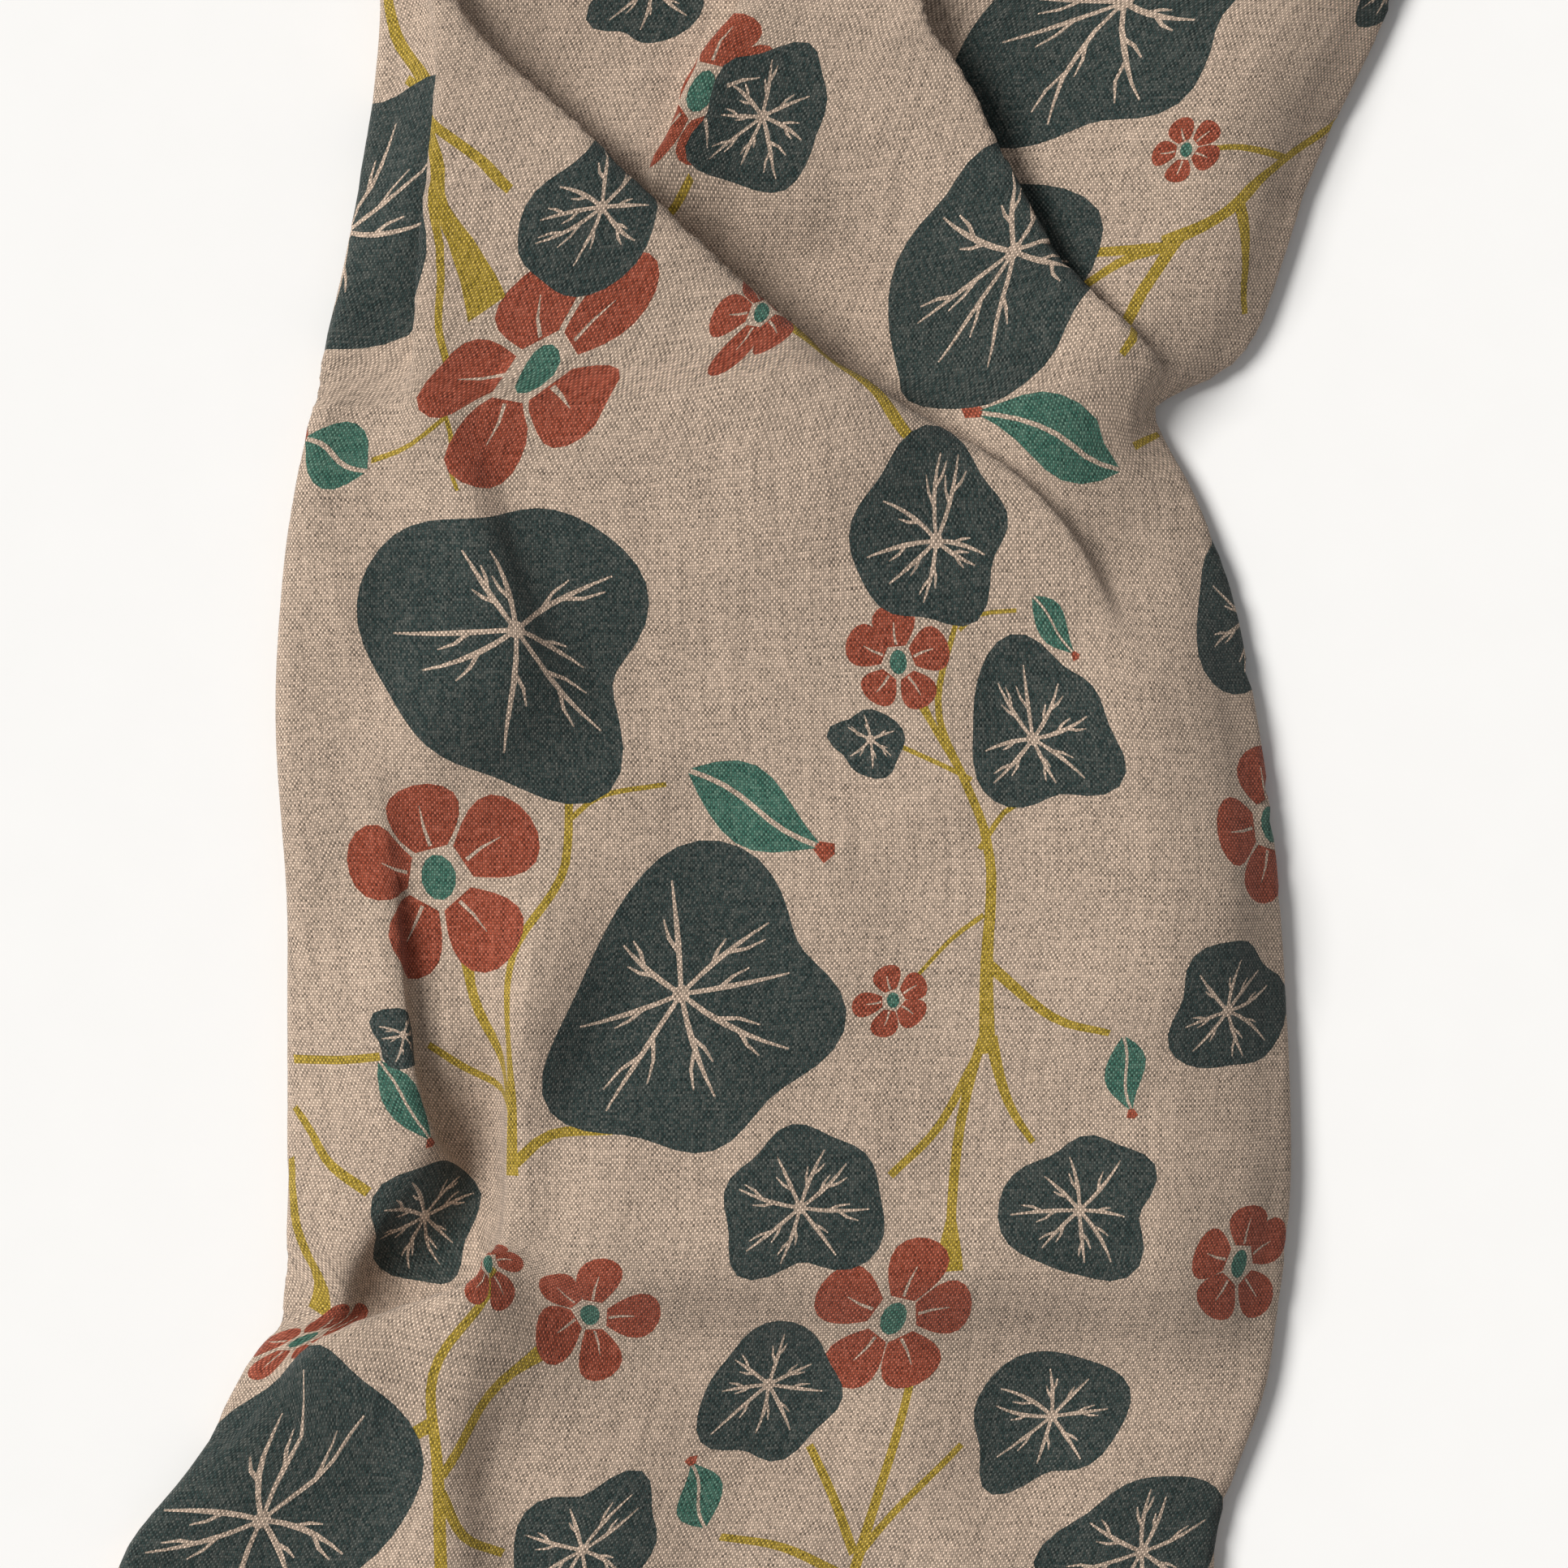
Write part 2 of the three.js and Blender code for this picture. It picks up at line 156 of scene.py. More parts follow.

# %% [markdown]
# ## How the cloth lies
# Cloth that is dropped on a table could be simulated, but its folds would then fall in places of their own.
# This cloth is not simulated. Its laid shape is drawn, as a tailor would chalk it: where each long
# side turns under, how high the cloth stands over its middle, and where the crest of each fold runs. Much
# the same lines gave the plain solid of the imported model. A fold has two half widths, because a fold of
# linen is steep on one side and runs out slowly on the other, and a lean: its crest hangs over its steep
# side.

# %% The runner's own sizes, in millimetres
lowest, highest = cad_box
WIDTH = 406.0
LENGTH = 1829.0
LAID_LENGTH = (highest[1] - lowest[1]) / MM
CLOTH_THICKNESS = 0.5
SIDE_HEM = (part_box("hem_near_end")[1].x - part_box("stitches_near_end")[1].x) / MM
END_HEM = (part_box("hem_near_end")[1].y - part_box("hem_near_end")[0].y) / MM
FULL_WIDTH_FROM = 440           # past this distance from the middle no side is turned under
FLAT_FROM = 560                 # past this distance from the middle the cloth lies flat
TUCK_HEIGHT = 2.2               # the turned-under cloth, above the table
LEFT_TUCK_SHARE = 0.45
FLAT_LEVEL = 0.45               # middle of the cloth where it lies on the table
print(f"laid length {LAID_LENGTH:.0f} mm, side hems {SIDE_HEM:.0f} mm, end hems {END_HEM:.0f} mm")

# %% The outlines and heights: [y, value]
LEFT_OUTLINE = [
    [-905, -202.8], [-440, -202.8], [-400, -200], [-370, -196], [-300, -184], [-240, -176], [-193, -165],
    [-166, -145], [-145, -134], [-128, -124], [-97, -123], [-37, -123], [19, -126], [53, -124], [99, -116],
    [139, -107], [193, -100], [250, -112], [320, -156], [370, -188], [400, -197.5], [440, -202.8],
    [905, -202.8]]
RIGHT_OUTLINE = [
    [-905, 202.8], [-440, 202.8], [-400, 197.5], [-370, 188], [-300, 140], [-240, 114], [-193, 107],
    [-143, 121], [-91, 126], [-27, 123], [41, 113], [70, 103], [87, 94], [93, 91.5], [97, 100], [101, 109],
    [112, 118], [129, 124], [150, 131], [193, 151], [250, 172], [330, 190], [370, 196.5], [400, 200.5],
    [440, 202.8], [905, 202.8]]
MIDDLE_HEIGHT = [
    [-905, 0], [-560, 0], [-400, 3], [-300, 6], [-193, 9], [-130, 11], [-60, 14], [20, 14], [70, 12],
    [120, 11], [193, 9], [300, 6], [400, 3], [560, 0], [905, 0]]
LEFT_HEIGHT = [[-905, 0], [-560, 0], [-450, 11], [-193, 8], [-60, 10], [60, 10], [193, 8],
               [450, 11], [560, 0], [905, 0]]
RIGHT_HEIGHT = [[-905, 0], [-560, 0], [-450, 9], [-193, 6], [-60, 6], [80, 5.5], [110, 5], [193, 5],
                [450, 9], [560, 0], [905, 0]]

# %% The folds: half width of the left side and of the right side, lean, and the crest [x, y, height]
FOLDS = {
    "cross_pleat": (5, 38, 11, [
        [-130, 328, 0], [-107, 256, 9], [-80, 187, 15], [-52, 150, 16], [-20, 119, 16], [3, 99, 15],
        [24, 84, 13], [50, 67, 9], [69, 43, 6], [86, 3, 0]]),
    "valley_by_the_pleat": (14, 14, 0, [
        [-34, 156, 0], [-10, 130, -10], [24, 113, -8], [60, 104, -3], [85, 103, 0]]),
    "middle_pleat_left_side": (16, 4, 9, [
        [8, 330, 0], [4, 250, 7], [-3, 193, 9], [-15, 173, 10], [-21, 157, 9], [-26, 146, 6], [-26, 132, 0]]),
    "middle_pleat_swell": (18, 14, 0, [[10, 230, 0], [7, 193, 4], [-1, 165, 5], [2, 143, 4], [10, 128, 0]]),
    "middle_pleat_right_side": (4, 26, 11, [
        [4, 328, 0], [15, 247, 9], [25, 189, 13], [37, 167, 13], [57, 128, 13], [68, 115, 12],
        [83, 99, 8], [92, 84, 0]]),
    "left_pleat": (24, 4, 11, [
        [-102, 250, 0], [-88, 193, 6], [-83, 160, 7], [-82, 130, 7], [-84, 100, 6], [-90, 70, 0]]),
    "long_crease": (5, 18, 2, [[-84, 124, 0], [-79, 78, 6], [-66, 37, 6], [-61, 5, 0]]),
    "body_swell": (28, 75, 0, [[70, 60, 0], [96, 25, 6], [104, -20, 8], [102, -70, 7], [94, -105, 0]]),
    "right_flap_swell": (24, 44, 0, [
        [160, 290, 0], [136, 225, 6], [116, 180, 9], [108, 148, 9], [104, 118, 5]]),
    "side_ridge": (4, 16, 6, [
        [-116, 60, 0], [-112, 36, 4], [-108, 10, 7], [-102, -21, 9], [-97, -62, 10], [-92, -88, 10],
        [-80, -106, 5]]),
    "pocket_bank": (6, 16, 4, [
        [-93, -68, 0], [-98, -88, 5], [-103, -104, 8], [-112, -122, 8], [-120, -140, 3]]),
    "left_hollow": (12, 12, 0, [[-116, 50, 0], [-110, 14, -8], [-107, -20, -8], [-107, -50, 0]]),
    "pocket": (11, 11, 0, [
        [-78, -60, 0], [-77, -85, -10], [-81, -110, -16], [-92, -123, -13], [-106, -132, 0]]),
    "pocket_lip": (4, 24, 11, [
        [-122, -154, 3], [-102, -142, 12], [-85, -135, 16], [-68, -127, 13], [-56, -117, 0]]),
    "narrow_ridge": (9, 5, 4, [
        [-52, -10, 0], [-58, -42, 6], [-63, -75, 11], [-64, -105, 12], [-66, -122, 8]]),
    "long_cross_fold": (34, 15, 0, [
        [-70, -112, 5], [-40, -116, 14], [20, -118, 15], [75, -119, 15], [112, -117, 7]]),
    "near_left_ridge": (10, 12, 2, [
        [-66, -126, 5], [-78, -147, 10], [-85, -170, 11], [-83, -200, 10], [-80, -270, 6], [-92, -380, 0]]),
    "near_middle_ripple": (26, 22, 0, [
        [10, -180, 0], [22, -240, 5], [36, -310, 6], [20, -400, 3], [10, -480, 0]]),
    "near_right_ripple": (20, 24, 0, [[70, -260, 0], [96, -340, 6], [120, -420, 4], [130, -500, 0]]),
    "far_left_ripple": (24, 26, 0, [[-60, 290, 0], [-95, 370, 6], [-120, 440, 4], [-126, 510, 0]]),
    "far_right_ripple": (26, 22, 0, [[110, 200, 0], [96, 290, 6], [104, 380, 6], [90, 480, 0]]),
}

# %% Curves through the chosen points
CREST_STEP = 3.0


def smooth(value):
    """0 below 0, 1 above 1, and a soft step between."""
    held = np.clip(value, 0, 1)
    return held * held * (3 - 2 * held)


def curve_through(points):
    """A smooth curve through [y, value] points that never overshoots them."""
    y, value = np.array(points, float).T
    slope = np.diff(value) / np.diff(y)
    tangent = np.zeros(len(y))
    same_way = slope[:-1] * slope[1:] > 0
    tangent[1:-1][same_way] = (2 * slope[:-1] * slope[1:])[same_way] / (slope[:-1] + slope[1:])[same_way]

    def at(where):
        i = np.clip(np.searchsorted(y, where, side="right") - 1, 0, len(y) - 2)
        span = y[i + 1] - y[i]
        t = np.clip((where - y[i]) / span, 0, 1)
        return (value[i] * (1 + 2 * t) * (1 - t) ** 2 + value[i + 1] * t * t * (3 - 2 * t)
                + span * (tangent[i] * t * (1 - t) ** 2 - tangent[i + 1] * t * t * (1 - t)))

    return at


def smooth_line(points, step):
    """Closely spaced points on a smooth line through the given ones (Catmull-Rom)."""
    points = np.array(points, float)
    padded = np.vstack([2 * points[0] - points[1], points, 2 * points[-1] - points[-2]])
    drawn = []
    for a, b, c, d in zip(padded, padded[1:], padded[2:], padded[3:]):
        count = max(1, int(np.ceil(np.linalg.norm((c - b)[:2]) / step)))
        for t in np.arange(count) / count:
            drawn.append(0.5 * (2 * b + (c - a) * t + (2 * a - 5 * b + 4 * c - d) * t ** 2
                                + (3 * b - a - 3 * c + d) * t ** 3))
    drawn.append(points[-1])
    return np.array(drawn)


left_outline, right_outline = curve_through(LEFT_OUTLINE), curve_through(RIGHT_OUTLINE)
middle_height = curve_through(MIDDLE_HEIGHT)
left_height, right_height = curve_through(LEFT_HEIGHT), curve_through(RIGHT_HEIGHT)
crests = {name: smooth_line(fold[3], CREST_STEP) for name, fold in FOLDS.items()}
print(len(crests), "folds, with", sum(len(c) for c in crests.values()), "crest points")

# %% Small undulations that every washed cloth has
WAVE_COUNT = 26
WAVE_LENGTHS = (30, 120)
WAVE_HEIGHT = 0.23
wave_maker = random.Random(7)
waves = []
for _ in range(WAVE_COUNT):
    heading = wave_maker.uniform(0, math.pi)
    reach = wave_maker.uniform(*WAVE_LENGTHS)
    waves.append((math.cos(heading) * math.tau / reach, math.sin(heading) * math.tau / reach,
                  wave_maker.uniform(0, math.tau), WAVE_HEIGHT * math.sqrt(reach / WAVE_LENGTHS[0])))


def undulation(x, y):
    return sum(size * np.sin(x * across + y * along + phase) for across, along, phase, size in waves)


# %% The top of the cloth: its height and how far it leans at a place on the table
SHOULDER = 34
FOLD_FADE = 14
END_FADE = 60
TAIL_SPREAD = 9.0               # how much wider a fold is where it dies away
LEAN_FROM = 8.0                 # height from which a fold leans fully
PILE = 3                        # folds that cross don't add up, but blend to little more than the higher
TUCK_CLEARANCE = 2.9            # the top stays this far up, over the cloth that is turned under
SOFT_FLOOR = 1.0


def top_of_cloth(x, y):
    """Height, and the shift in x and y, at places on one section. x is an array and y a number."""
    from_left, from_right = x - left_outline(y), right_outline(y) - x
    left = left_height(y) + (middle_height(y) - left_height(y)) * smooth(from_left / SHOULDER)
    right = right_height(y) + (middle_height(y) - right_height(y)) * smooth(from_right / SHOULDER)
    raised = np.where(from_left < from_right, left, right)
    fade = smooth(np.minimum(from_left, from_right) / FOLD_FADE)
    hills, dips = np.zeros_like(x), np.zeros_like(x)
    shift = np.zeros((2, len(x)))
    for name, (left_half, right_half, lean, _) in FOLDS.items():
        crest = crests[name]
        reach = 3 * max(left_half, right_half)
        if not crest[:, 1].min() - reach < y < crest[:, 1].max() + reach:
            continue
        gap = (crest[:, None, 0] - x[None]) ** 2 + (crest[:, None, 1] - y) ** 2
        nearest = gap.argmin(0)
        along = np.gradient(crest[:, :2], axis=0)[nearest].T
        along /= np.linalg.norm(along, axis=0)
        is_left = along[0] * (y - crest[nearest, 1]) - along[1] * (x - crest[nearest, 0]) > 0
        height = crest[nearest, 2]
        peak = crest[np.abs(crest[:, 2]).argmax(), 2]
        half = np.where(is_left, left_half, right_half) + TAIL_SPREAD * (1 - np.clip(height / peak, 0, 1))
        profile = np.exp(-gap.min(0) / half ** 2)
        hills += np.maximum(0, height * profile) ** PILE
        dips += np.minimum(0, height * profile)
        steep = 1 if left_half < right_half else -1
        amount = lean * profile ** 2 * smooth(height / LEAN_FROM)
        shift += steep * amount * np.array([-along[1], along[0]])
    ends = smooth((FLAT_FROM - abs(y)) / END_FADE)
    relief = hills ** (1 / PILE) + dips
    small = undulation(x, y) * (1 - ends * (1 - fade))
    least = TUCK_CLEARANCE * smooth((FULL_WIDTH_FROM - abs(y)) / END_FADE)
    free = raised + ends * fade * relief + small - least
    height = FLAT_LEVEL + least + (free + np.sqrt(free ** 2 + SOFT_FLOOR ** 2)) / 2
    return height, shift * fade * ends


# %% One section across the laid cloth
TOP_POINTS = 420
TURN_POINTS = 14
TUCK_STEP = 2.0
LARGEST_ROLL = 5.0
ACROSS_STEP = 2.0
across_places = np.arange(0, WIDTH + ACROSS_STEP / 2, ACROSS_STEP)


def turned_side(edge_x, inward, y):
    """Points from the top of a side's roll, round it and back under the cloth, and the roll's radius."""
    tuck = np.arange(TUCK_STEP, WIDTH, TUCK_STEP)
    near = top_of_cloth(np.array([edge_x + inward * LARGEST_ROLL]), y)[0][0]
    if abs(y) >= FULL_WIDTH_FROM:
        height = top_of_cloth(np.array([edge_x]), y)[0][0]
        return 0.0, np.stack([edge_x - inward * tuck, np.full_like(tuck, height)], 1)
    radius = min(LARGEST_ROLL, (near - TUCK_HEIGHT) / 2)
    height = top_of_cloth(np.array([edge_x + inward * radius]), y)[0][0]
    depth = (height - TUCK_HEIGHT) / 2
    angle = np.pi * np.arange(1, TURN_POINTS + 1) / TURN_POINTS
    turn = np.stack([edge_x + inward * radius * (1 - np.sin(angle)), height - depth * (1 - np.cos(angle))], 1)
    under = np.stack([edge_x + inward * (radius + tuck), np.full_like(tuck, TUCK_HEIGHT)], 1)
    return radius, np.vstack([turn, under])


def section(y):
    """The cloth along one weft thread.

    Gives its points, the length along them, where its left edge is, and how far across the cloth the point
    above x = 0 is.
    """
    left_radius, left = turned_side(left_outline(y), 1, y)
    right_radius, right = turned_side(right_outline(y), -1, y)
    x = np.linspace(left_outline(y) + left_radius, right_outline(y) - right_radius, TOP_POINTS)
    height, shift = top_of_cloth(x, y)
    top = np.stack([x + shift[0], y + shift[1], height], 1)
    sides = [np.insert(side, 1, y, axis=1) for side in (left, right)]
    points = np.vstack([sides[0][::-1], top, sides[1]])
    run = np.concatenate([[0], np.linalg.norm(np.diff(points, axis=0), axis=1).cumsum()])
    first, last = len(left), len(left) + TOP_POINTS - 1
    spare = WIDTH - (run[last] - run[first])
    start = run[first] - spare * LEFT_TUCK_SHARE
    nearest = np.abs(top[:, 0]).argmin()
    return points, run, start, run[first + nearest] - top[nearest, 0] - start


# %% All the sections, end to end
ALONG_STEP = 2.0
EVEN_REACH = 20                 # sections each way over which the cloth's place across is evened out
EVEN_UP_TO = 10                 # and only short of the long pleat, which crosses the middle further up
EVEN_FADE = 50
SMOOTHINGS = 2                  # they take the last kinks out, as the threads' own stiffness does
section_count = int(round(LAID_LENGTH / ALONG_STEP)) + 1
section_ys = np.linspace(-LAID_LENGTH / 2, LAID_LENGTH / 2, section_count)
sections = [section(y) for y in section_ys]
bell = np.exp(-np.linspace(-2, 2, 2 * EVEN_REACH + 1) ** 2)
at_middle = np.array([one[3] for one in sections])
evened = np.convolve(np.pad(at_middle, EVEN_REACH, mode="edge"), bell / bell.sum(), mode="valid")
slips = (at_middle - evened) * (1 - smooth((section_ys - EVEN_UP_TO) / EVEN_FADE))
laid = np.array([
    [np.interp(start + slip + across_places, run, points[:, axis]) for axis in range(3)]
    for (points, run, start, _), slip in zip(sections, slips)]).transpose(0, 2, 1)
for _ in range(SMOOTHINGS):
    laid[1:-1] = (laid[:-2] + 2 * laid[1:-1] + laid[2:]) / 4
    laid[:, 1:-1] = (laid[:, :-2] + 2 * laid[:, 1:-1] + laid[:, 2:]) / 4

cells = np.diff(laid, axis=0)[:, :-1], np.diff(laid, axis=1)[:-1]
area = np.linalg.norm(np.cross(*cells), axis=2).sum() * MM * MM
print(f"{section_count} sections; the laid cloth measures {area:.3f} square metres,",
      f"and {WIDTH * LENGTH * MM * MM:.3f} flat")

# %% [markdown]
# ## From the flat cloth to the laid cloth
# Everything that is printed or sewn is drawn on the flat cloth, as a printer and a seamstress would, and
# is then carried to the laid cloth. The carrying is a smooth interpolation in the grid of sections.

# %% Carrying flat places to the laid cloth
slope_normal = np.cross(np.gradient(laid, axis=1), np.gradient(laid, axis=0))
laid_normal = slope_normal / np.linalg.norm(slope_normal, axis=2, keepdims=True)


def cubic_weights(t):
    return np.stack([-t + 2 * t ** 2 - t ** 3, 2 - 5 * t ** 2 + 3 * t ** 3, t + 4 * t ** 2 - 3 * t ** 3,
                     t ** 3 - t ** 2]) / 2


def between(grid, across, along):
    """Smooth values of a grid at flat places, in millimetres from the left side and from the near end."""
    column = np.clip(across / ACROSS_STEP, 0, grid.shape[1] - 1.001)
    row = np.clip(along / LENGTH * (section_count - 1), 0, section_count - 1.001)
    i, j = np.floor(row).astype(int), np.floor(column).astype(int)
    row_weight, column_weight = cubic_weights(row - i), cubic_weights(column - j)
    total = 0
    for a in range(4):
        near_row = np.clip(i + a - 1, 0, grid.shape[0] - 1)
        for b in range(4):
            near_column = np.clip(j + b - 1, 0, grid.shape[1] - 1)
            total = total + (row_weight[a] * column_weight[b])[:, None] * grid[near_row, near_column]
    return total


HEM_LIFT = 1.1
SIDE_RAMP = 5                   # the width over which the cloth comes down from a hem
END_RAMP = 6
LEAST_HEIGHT = 0.04


def carry(across, along, above=0.0):
    """Laid places, in metres, of flat places that stand `above` the middle of the cloth."""
    across, along = np.asarray(across, float), np.asarray(along, float)
    place = between(laid, across, along)
    normal = between(laid_normal, across, along)
    normal /= np.linalg.norm(normal, axis=1, keepdims=True)
    to_side = np.minimum(across, WIDTH - across)
    to_end = np.minimum(along, LENGTH - along)
    lift = HEM_LIFT * np.maximum(1 - smooth((to_side - SIDE_HEM) / SIDE_RAMP),
                                 1 - smooth((to_end - END_HEM) / END_RAMP))
    place = place + normal * (lift + above)[:, None]
    place[:, 2] = np.maximum(place[:, 2], LEAST_HEIGHT)
    return place * MM


# %% Finding the flat place of a spot on the laid cloth
facing_up = laid_normal[:, :, 2] > 0.15


def flat_place(x, y):
    """Where on the flat cloth the topmost laid point at (x, y) is, and how the cloth is turned there."""
    gap = (laid[:, :, 0] - x) ** 2 + (laid[:, :, 1] - y) ** 2 + np.where(facing_up, 0, 1e6)
    near = gap < max(gap.min() * 1.5, 9.0)
    row, column = np.unravel_index(np.where(near, laid[:, :, 2], -1).argmax(), gap.shape)
    row, column = min(max(row, 4), section_count - 5), min(max(column, 5), laid.shape[1] - 6)
    warp = (laid[row + 4, column] - laid[row - 4, column])[:2]
    weft = (laid[row, column + 5] - laid[row, column - 5])[:2]
    turn = math.atan2(weft[1] - warp[0], weft[0] + warp[1])
    across, along = column * ACROSS_STEP, row / (section_count - 1) * LENGTH
    miss = np.array([x, y]) - laid[row, column, :2]
    back = np.array([[math.cos(turn), math.sin(turn)], [-math.sin(turn), math.cos(turn)]]) @ miss
    return np.array([across, along]) + back, turn


print("the middle of the table is at", flat_place(0, 0)[0].round(1), "on the flat cloth")

# %% [markdown]
# ## The print
# The runner is block-printed in four inks on bare linen: deep green leaves with bare veins, brick-red
# flowers with a teal eye, teal buds and mustard stems. An image would blur close up, so each block is an
# outline on the flat cloth, drawn by a formula with its own seeded irregularity. Later the outlines become
# edges of the cloth's mesh, so every face lies wholly in one ink.

# %% Inks, in the order in which they cover each other
BARE, MUSTARD, RED, TEAL, GREEN, BARE_LINE = range(6)
hand = random.Random(41)
blocks = []                     # (ink, outline) on the flat cloth


def print_block(ink, outline, place, turn):
    c, s = math.cos(turn), math.sin(turn)
    outline = np.array(outline, float)
    blocks.append((ink, outline @ np.array([[c, s], [-s, c]]) + place))


def tapered(points, widths):
    """Outline of a stroke through the points, with its width at each of them."""
    points, widths = np.array(points, float), np.array(widths, float)
    along = np.gradient(points, axis=0)
    along /= np.maximum(np.linalg.norm(along, axis=1, keepdims=True), 1e-6)
    side = np.stack([-along[:, 1], along[:, 0]], 1) * widths[:, None] / 2
    return np.vstack([points - side, (points + side)[::-1]])


# %% A leaf
LEAF_LOBES = ((2, 0.05), (3, 0.10), (4, 0.05), (5, 0.055), (6, 0.03))


def print_leaf(place, turn, radius, detail=1.0):
    lobes = [(k, size * hand.uniform(0.6, 1.3), hand.uniform(0, math.tau)) for k, size in LEAF_LOBES]

    def reach(angle):
        return radius * (1 + sum(size * np.cos(k * angle + phase) for k, size, phase in lobes))

    angles = np.linspace(0, math.tau, max(16, int(48 * detail * math.sqrt(radius / 33))), endpoint=False)
    print_block(GREEN, np.stack([reach(angles) * np.cos(angles), reach(angles) * np.sin(angles)], 1),
                place, turn)
    heart = np.array([hand.uniform(-0.12, 0.12), hand.uniform(-0.12, 0.12)]) * radius
    stroke = 1.8 * math.sqrt(radius / 34)
    eye = np.linspace(0, math.tau, 8, endpoint=False)
    print_block(BARE_LINE, heart + stroke * 1.25 * np.stack([np.cos(eye), np.sin(eye)], 1), place, turn)
    veins = 8 if radius > 14 else 6
    for number in range(veins):
        angle = math.tau * (number + hand.uniform(-0.16, 0.16)) / veins
        bend = hand.uniform(-0.3, 0.3)
        tip = angle + bend
        edge = reach(tip) * np.array([math.cos(tip), math.sin(tip)]) - heart
        length = np.linalg.norm(edge) * hand.uniform(0.7, 0.86)
        toward = math.atan2(edge[1], edge[0])
        steps = np.linspace(0.06, 1, 6 if detail > 0.8 else 3)
        swing = toward - bend * (1 - steps) * 0.9
        spine = heart + (length * steps)[:, None] * np.stack([np.cos(swing), np.sin(swing)], 1)
        widths = stroke * np.interp(steps, [0, 0.5, 1], [0.6, 0.8, 0.25])
        print_block(BARE_LINE, tapered(spine, widths), place, turn)
        if detail <= 0.8:
            continue
        twigs = ((hand.uniform(0.34, 0.44), 1), (hand.uniform(0.5, 0.62), -1))
        for part, side in twigs[:hand.choice((1, 2))]:
            root = heart + length * part * np.array([math.cos(toward - bend * (1 - part) * 0.9),
                                                     math.sin(toward - bend * (1 - part) * 0.9)])
            way = toward + side * hand.uniform(0.6, 0.8)
            twig_length = length * hand.uniform(0.26, 0.38)
            turns = [(t, way - side * 0.3 * t) for t in (0, 0.5, 1)]
            twig = [root + twig_length * t * np.array([math.cos(toward_tip), math.sin(toward_tip)])
                    for t, toward_tip in turns]
            print_block(BARE_LINE, tapered(twig, [stroke * 0.6, stroke * 0.5, stroke * 0.2]), place, turn)


# %% A flower
PETAL_COUNT = 5
WIDEST_AT = 0.62                # share of a petal's length


def print_flower(place, turn, radius, points=10):
    """A flower, with so many points along each side of its petals."""
    out = (1 - np.cos(np.linspace(0, math.pi, points))) / 2
    inner = 0.42 + 0.58 * np.sin(np.minimum(out / WIDEST_AT, 1) * math.pi / 2)
    outer = np.sqrt(np.maximum(0, 1 - ((out - WIDEST_AT) / (1 - WIDEST_AT)) ** 2))
    wide = np.where(out < WIDEST_AT, inner, outer)
    for number in range(PETAL_COUNT):
        angle = math.tau * (number + hand.uniform(-0.12, 0.12)) / PETAL_COUNT + math.pi / 2
        length = radius * hand.uniform(0.86, 1.08)
        half = radius * hand.uniform(0.33, 0.4)
        root = 0.27 * radius
        right = np.stack([root + (length - root) * out, -wide * half], 1)
        left = (right * [1, -1])[-2::-1]
        petal = np.vstack([right, left])
        c, s = math.cos(angle), math.sin(angle)
        to_angle = np.array([[c, s], [-s, c]])
        print_block(RED, petal @ to_angle, place, turn)
        slit = tapered([[0.3 * radius, 0], [0.48 * radius, 0.015 * radius], [0.68 * radius, 0]],
                       [0.95 * math.sqrt(radius / 26), 0.75 * math.sqrt(radius / 26), 0.2])
        print_block(BARE_LINE, slit @ to_angle, place, turn)
    ring = np.linspace(0, math.tau, 12, endpoint=False)
    print_block(TEAL, np.stack([0.16 * radius * np.cos(ring), 0.215 * radius * np.sin(ring)], 1), place, turn)


# %% A bud
def print_bud(place, turn, length, breadth):
    """A bud that points along its own +X: two teal halves with a bare slit, and a red tip."""
    t = np.linspace(0, 1, 9)
    along = (t - 0.5) * length * 0.9
    waist = 0.06 * breadth * np.sin(t * math.tau)
    for side, fullness in ((1, 0.44), (-1, 0.5)):
        inner = waist + side * 0.035 * breadth
        outer = waist + side * (0.035 + fullness * np.sin(t ** 0.85 * math.pi) ** 1.15) * breadth
        half = np.vstack([np.stack([along, inner], 1), np.stack([along, outer], 1)[::-1][1:-1]])
        print_block(TEAL, half, place, turn)
    tip = [[0.43, -0.07], [0.53, -0.16], [0.56, 0.02], [0.53, 0.14], [0.44, 0.06]]
    print_block(RED, np.array(tip) * [length, breadth], place, turn)


# %% A stem
STEM_STEP = 4.0


def print_stem(points, start_width, end_width, middle_width=None):
    """A smooth tapering stroke on the flat cloth."""
    line = smooth_line(points, STEM_STEP)
    share = np.linspace(0, 1, len(line))
    if middle_width is None:
        widths = start_width + (end_width - start_width) * share
    else:
        widths = np.interp(share, [0, 0.75, 1], [start_width, middle_width, end_width])
    blocks.append((MUSTARD, tapered(line, widths)))


# %% [markdown]
# The blocks of the gathered middle are given by their places on the table, where they are seen between the
# folds, and `flat_place` finds where the printer would have set them on the flat cloth.

# %% Leaves, flowers and buds of the gathered middle: x, y on the table, and size
LEAVES = [
    (-67, 35, 36), (-23, -55, 35), (-107, 138, 33), (-45, 141, 18), (-5, 162, 16.5), (56, 128, 31),
    (80, 190, 33), (36, 63, 19.5), (63, 13, 19), (21, 10, 8.5), (117, 41, 19), (111, -55, 16.5),
    (5, -103, 19), (73, -104, 18), (-3, -150, 17), (65, -156, 18), (-89, -107, 15.5), (-127, -178, 34),
    (-49, -189, 18), (87, -191, 21), (-33, 195, 13), (150, 196, 9), (-93, -62, 8)]
FLOWERS = [
    (-59, 102, 27, 0.1), (-85, -23, 27, 0.25), (28, 30, 13.5, 0), (27, -53, 9.5, 0.3),
    (-48, -131, 16.5, -0.35), (27, -131, 20, -0.2), (112, -118, 16.5, 0), (99, 156, 9, 0.4),
    (-20, 170, 21, -0.3), (-6, 115, 12, 0.2),
    (121, -10, 22, 0.3), (-119, -136, 11, 0), (-71, -117, 12, 0)]
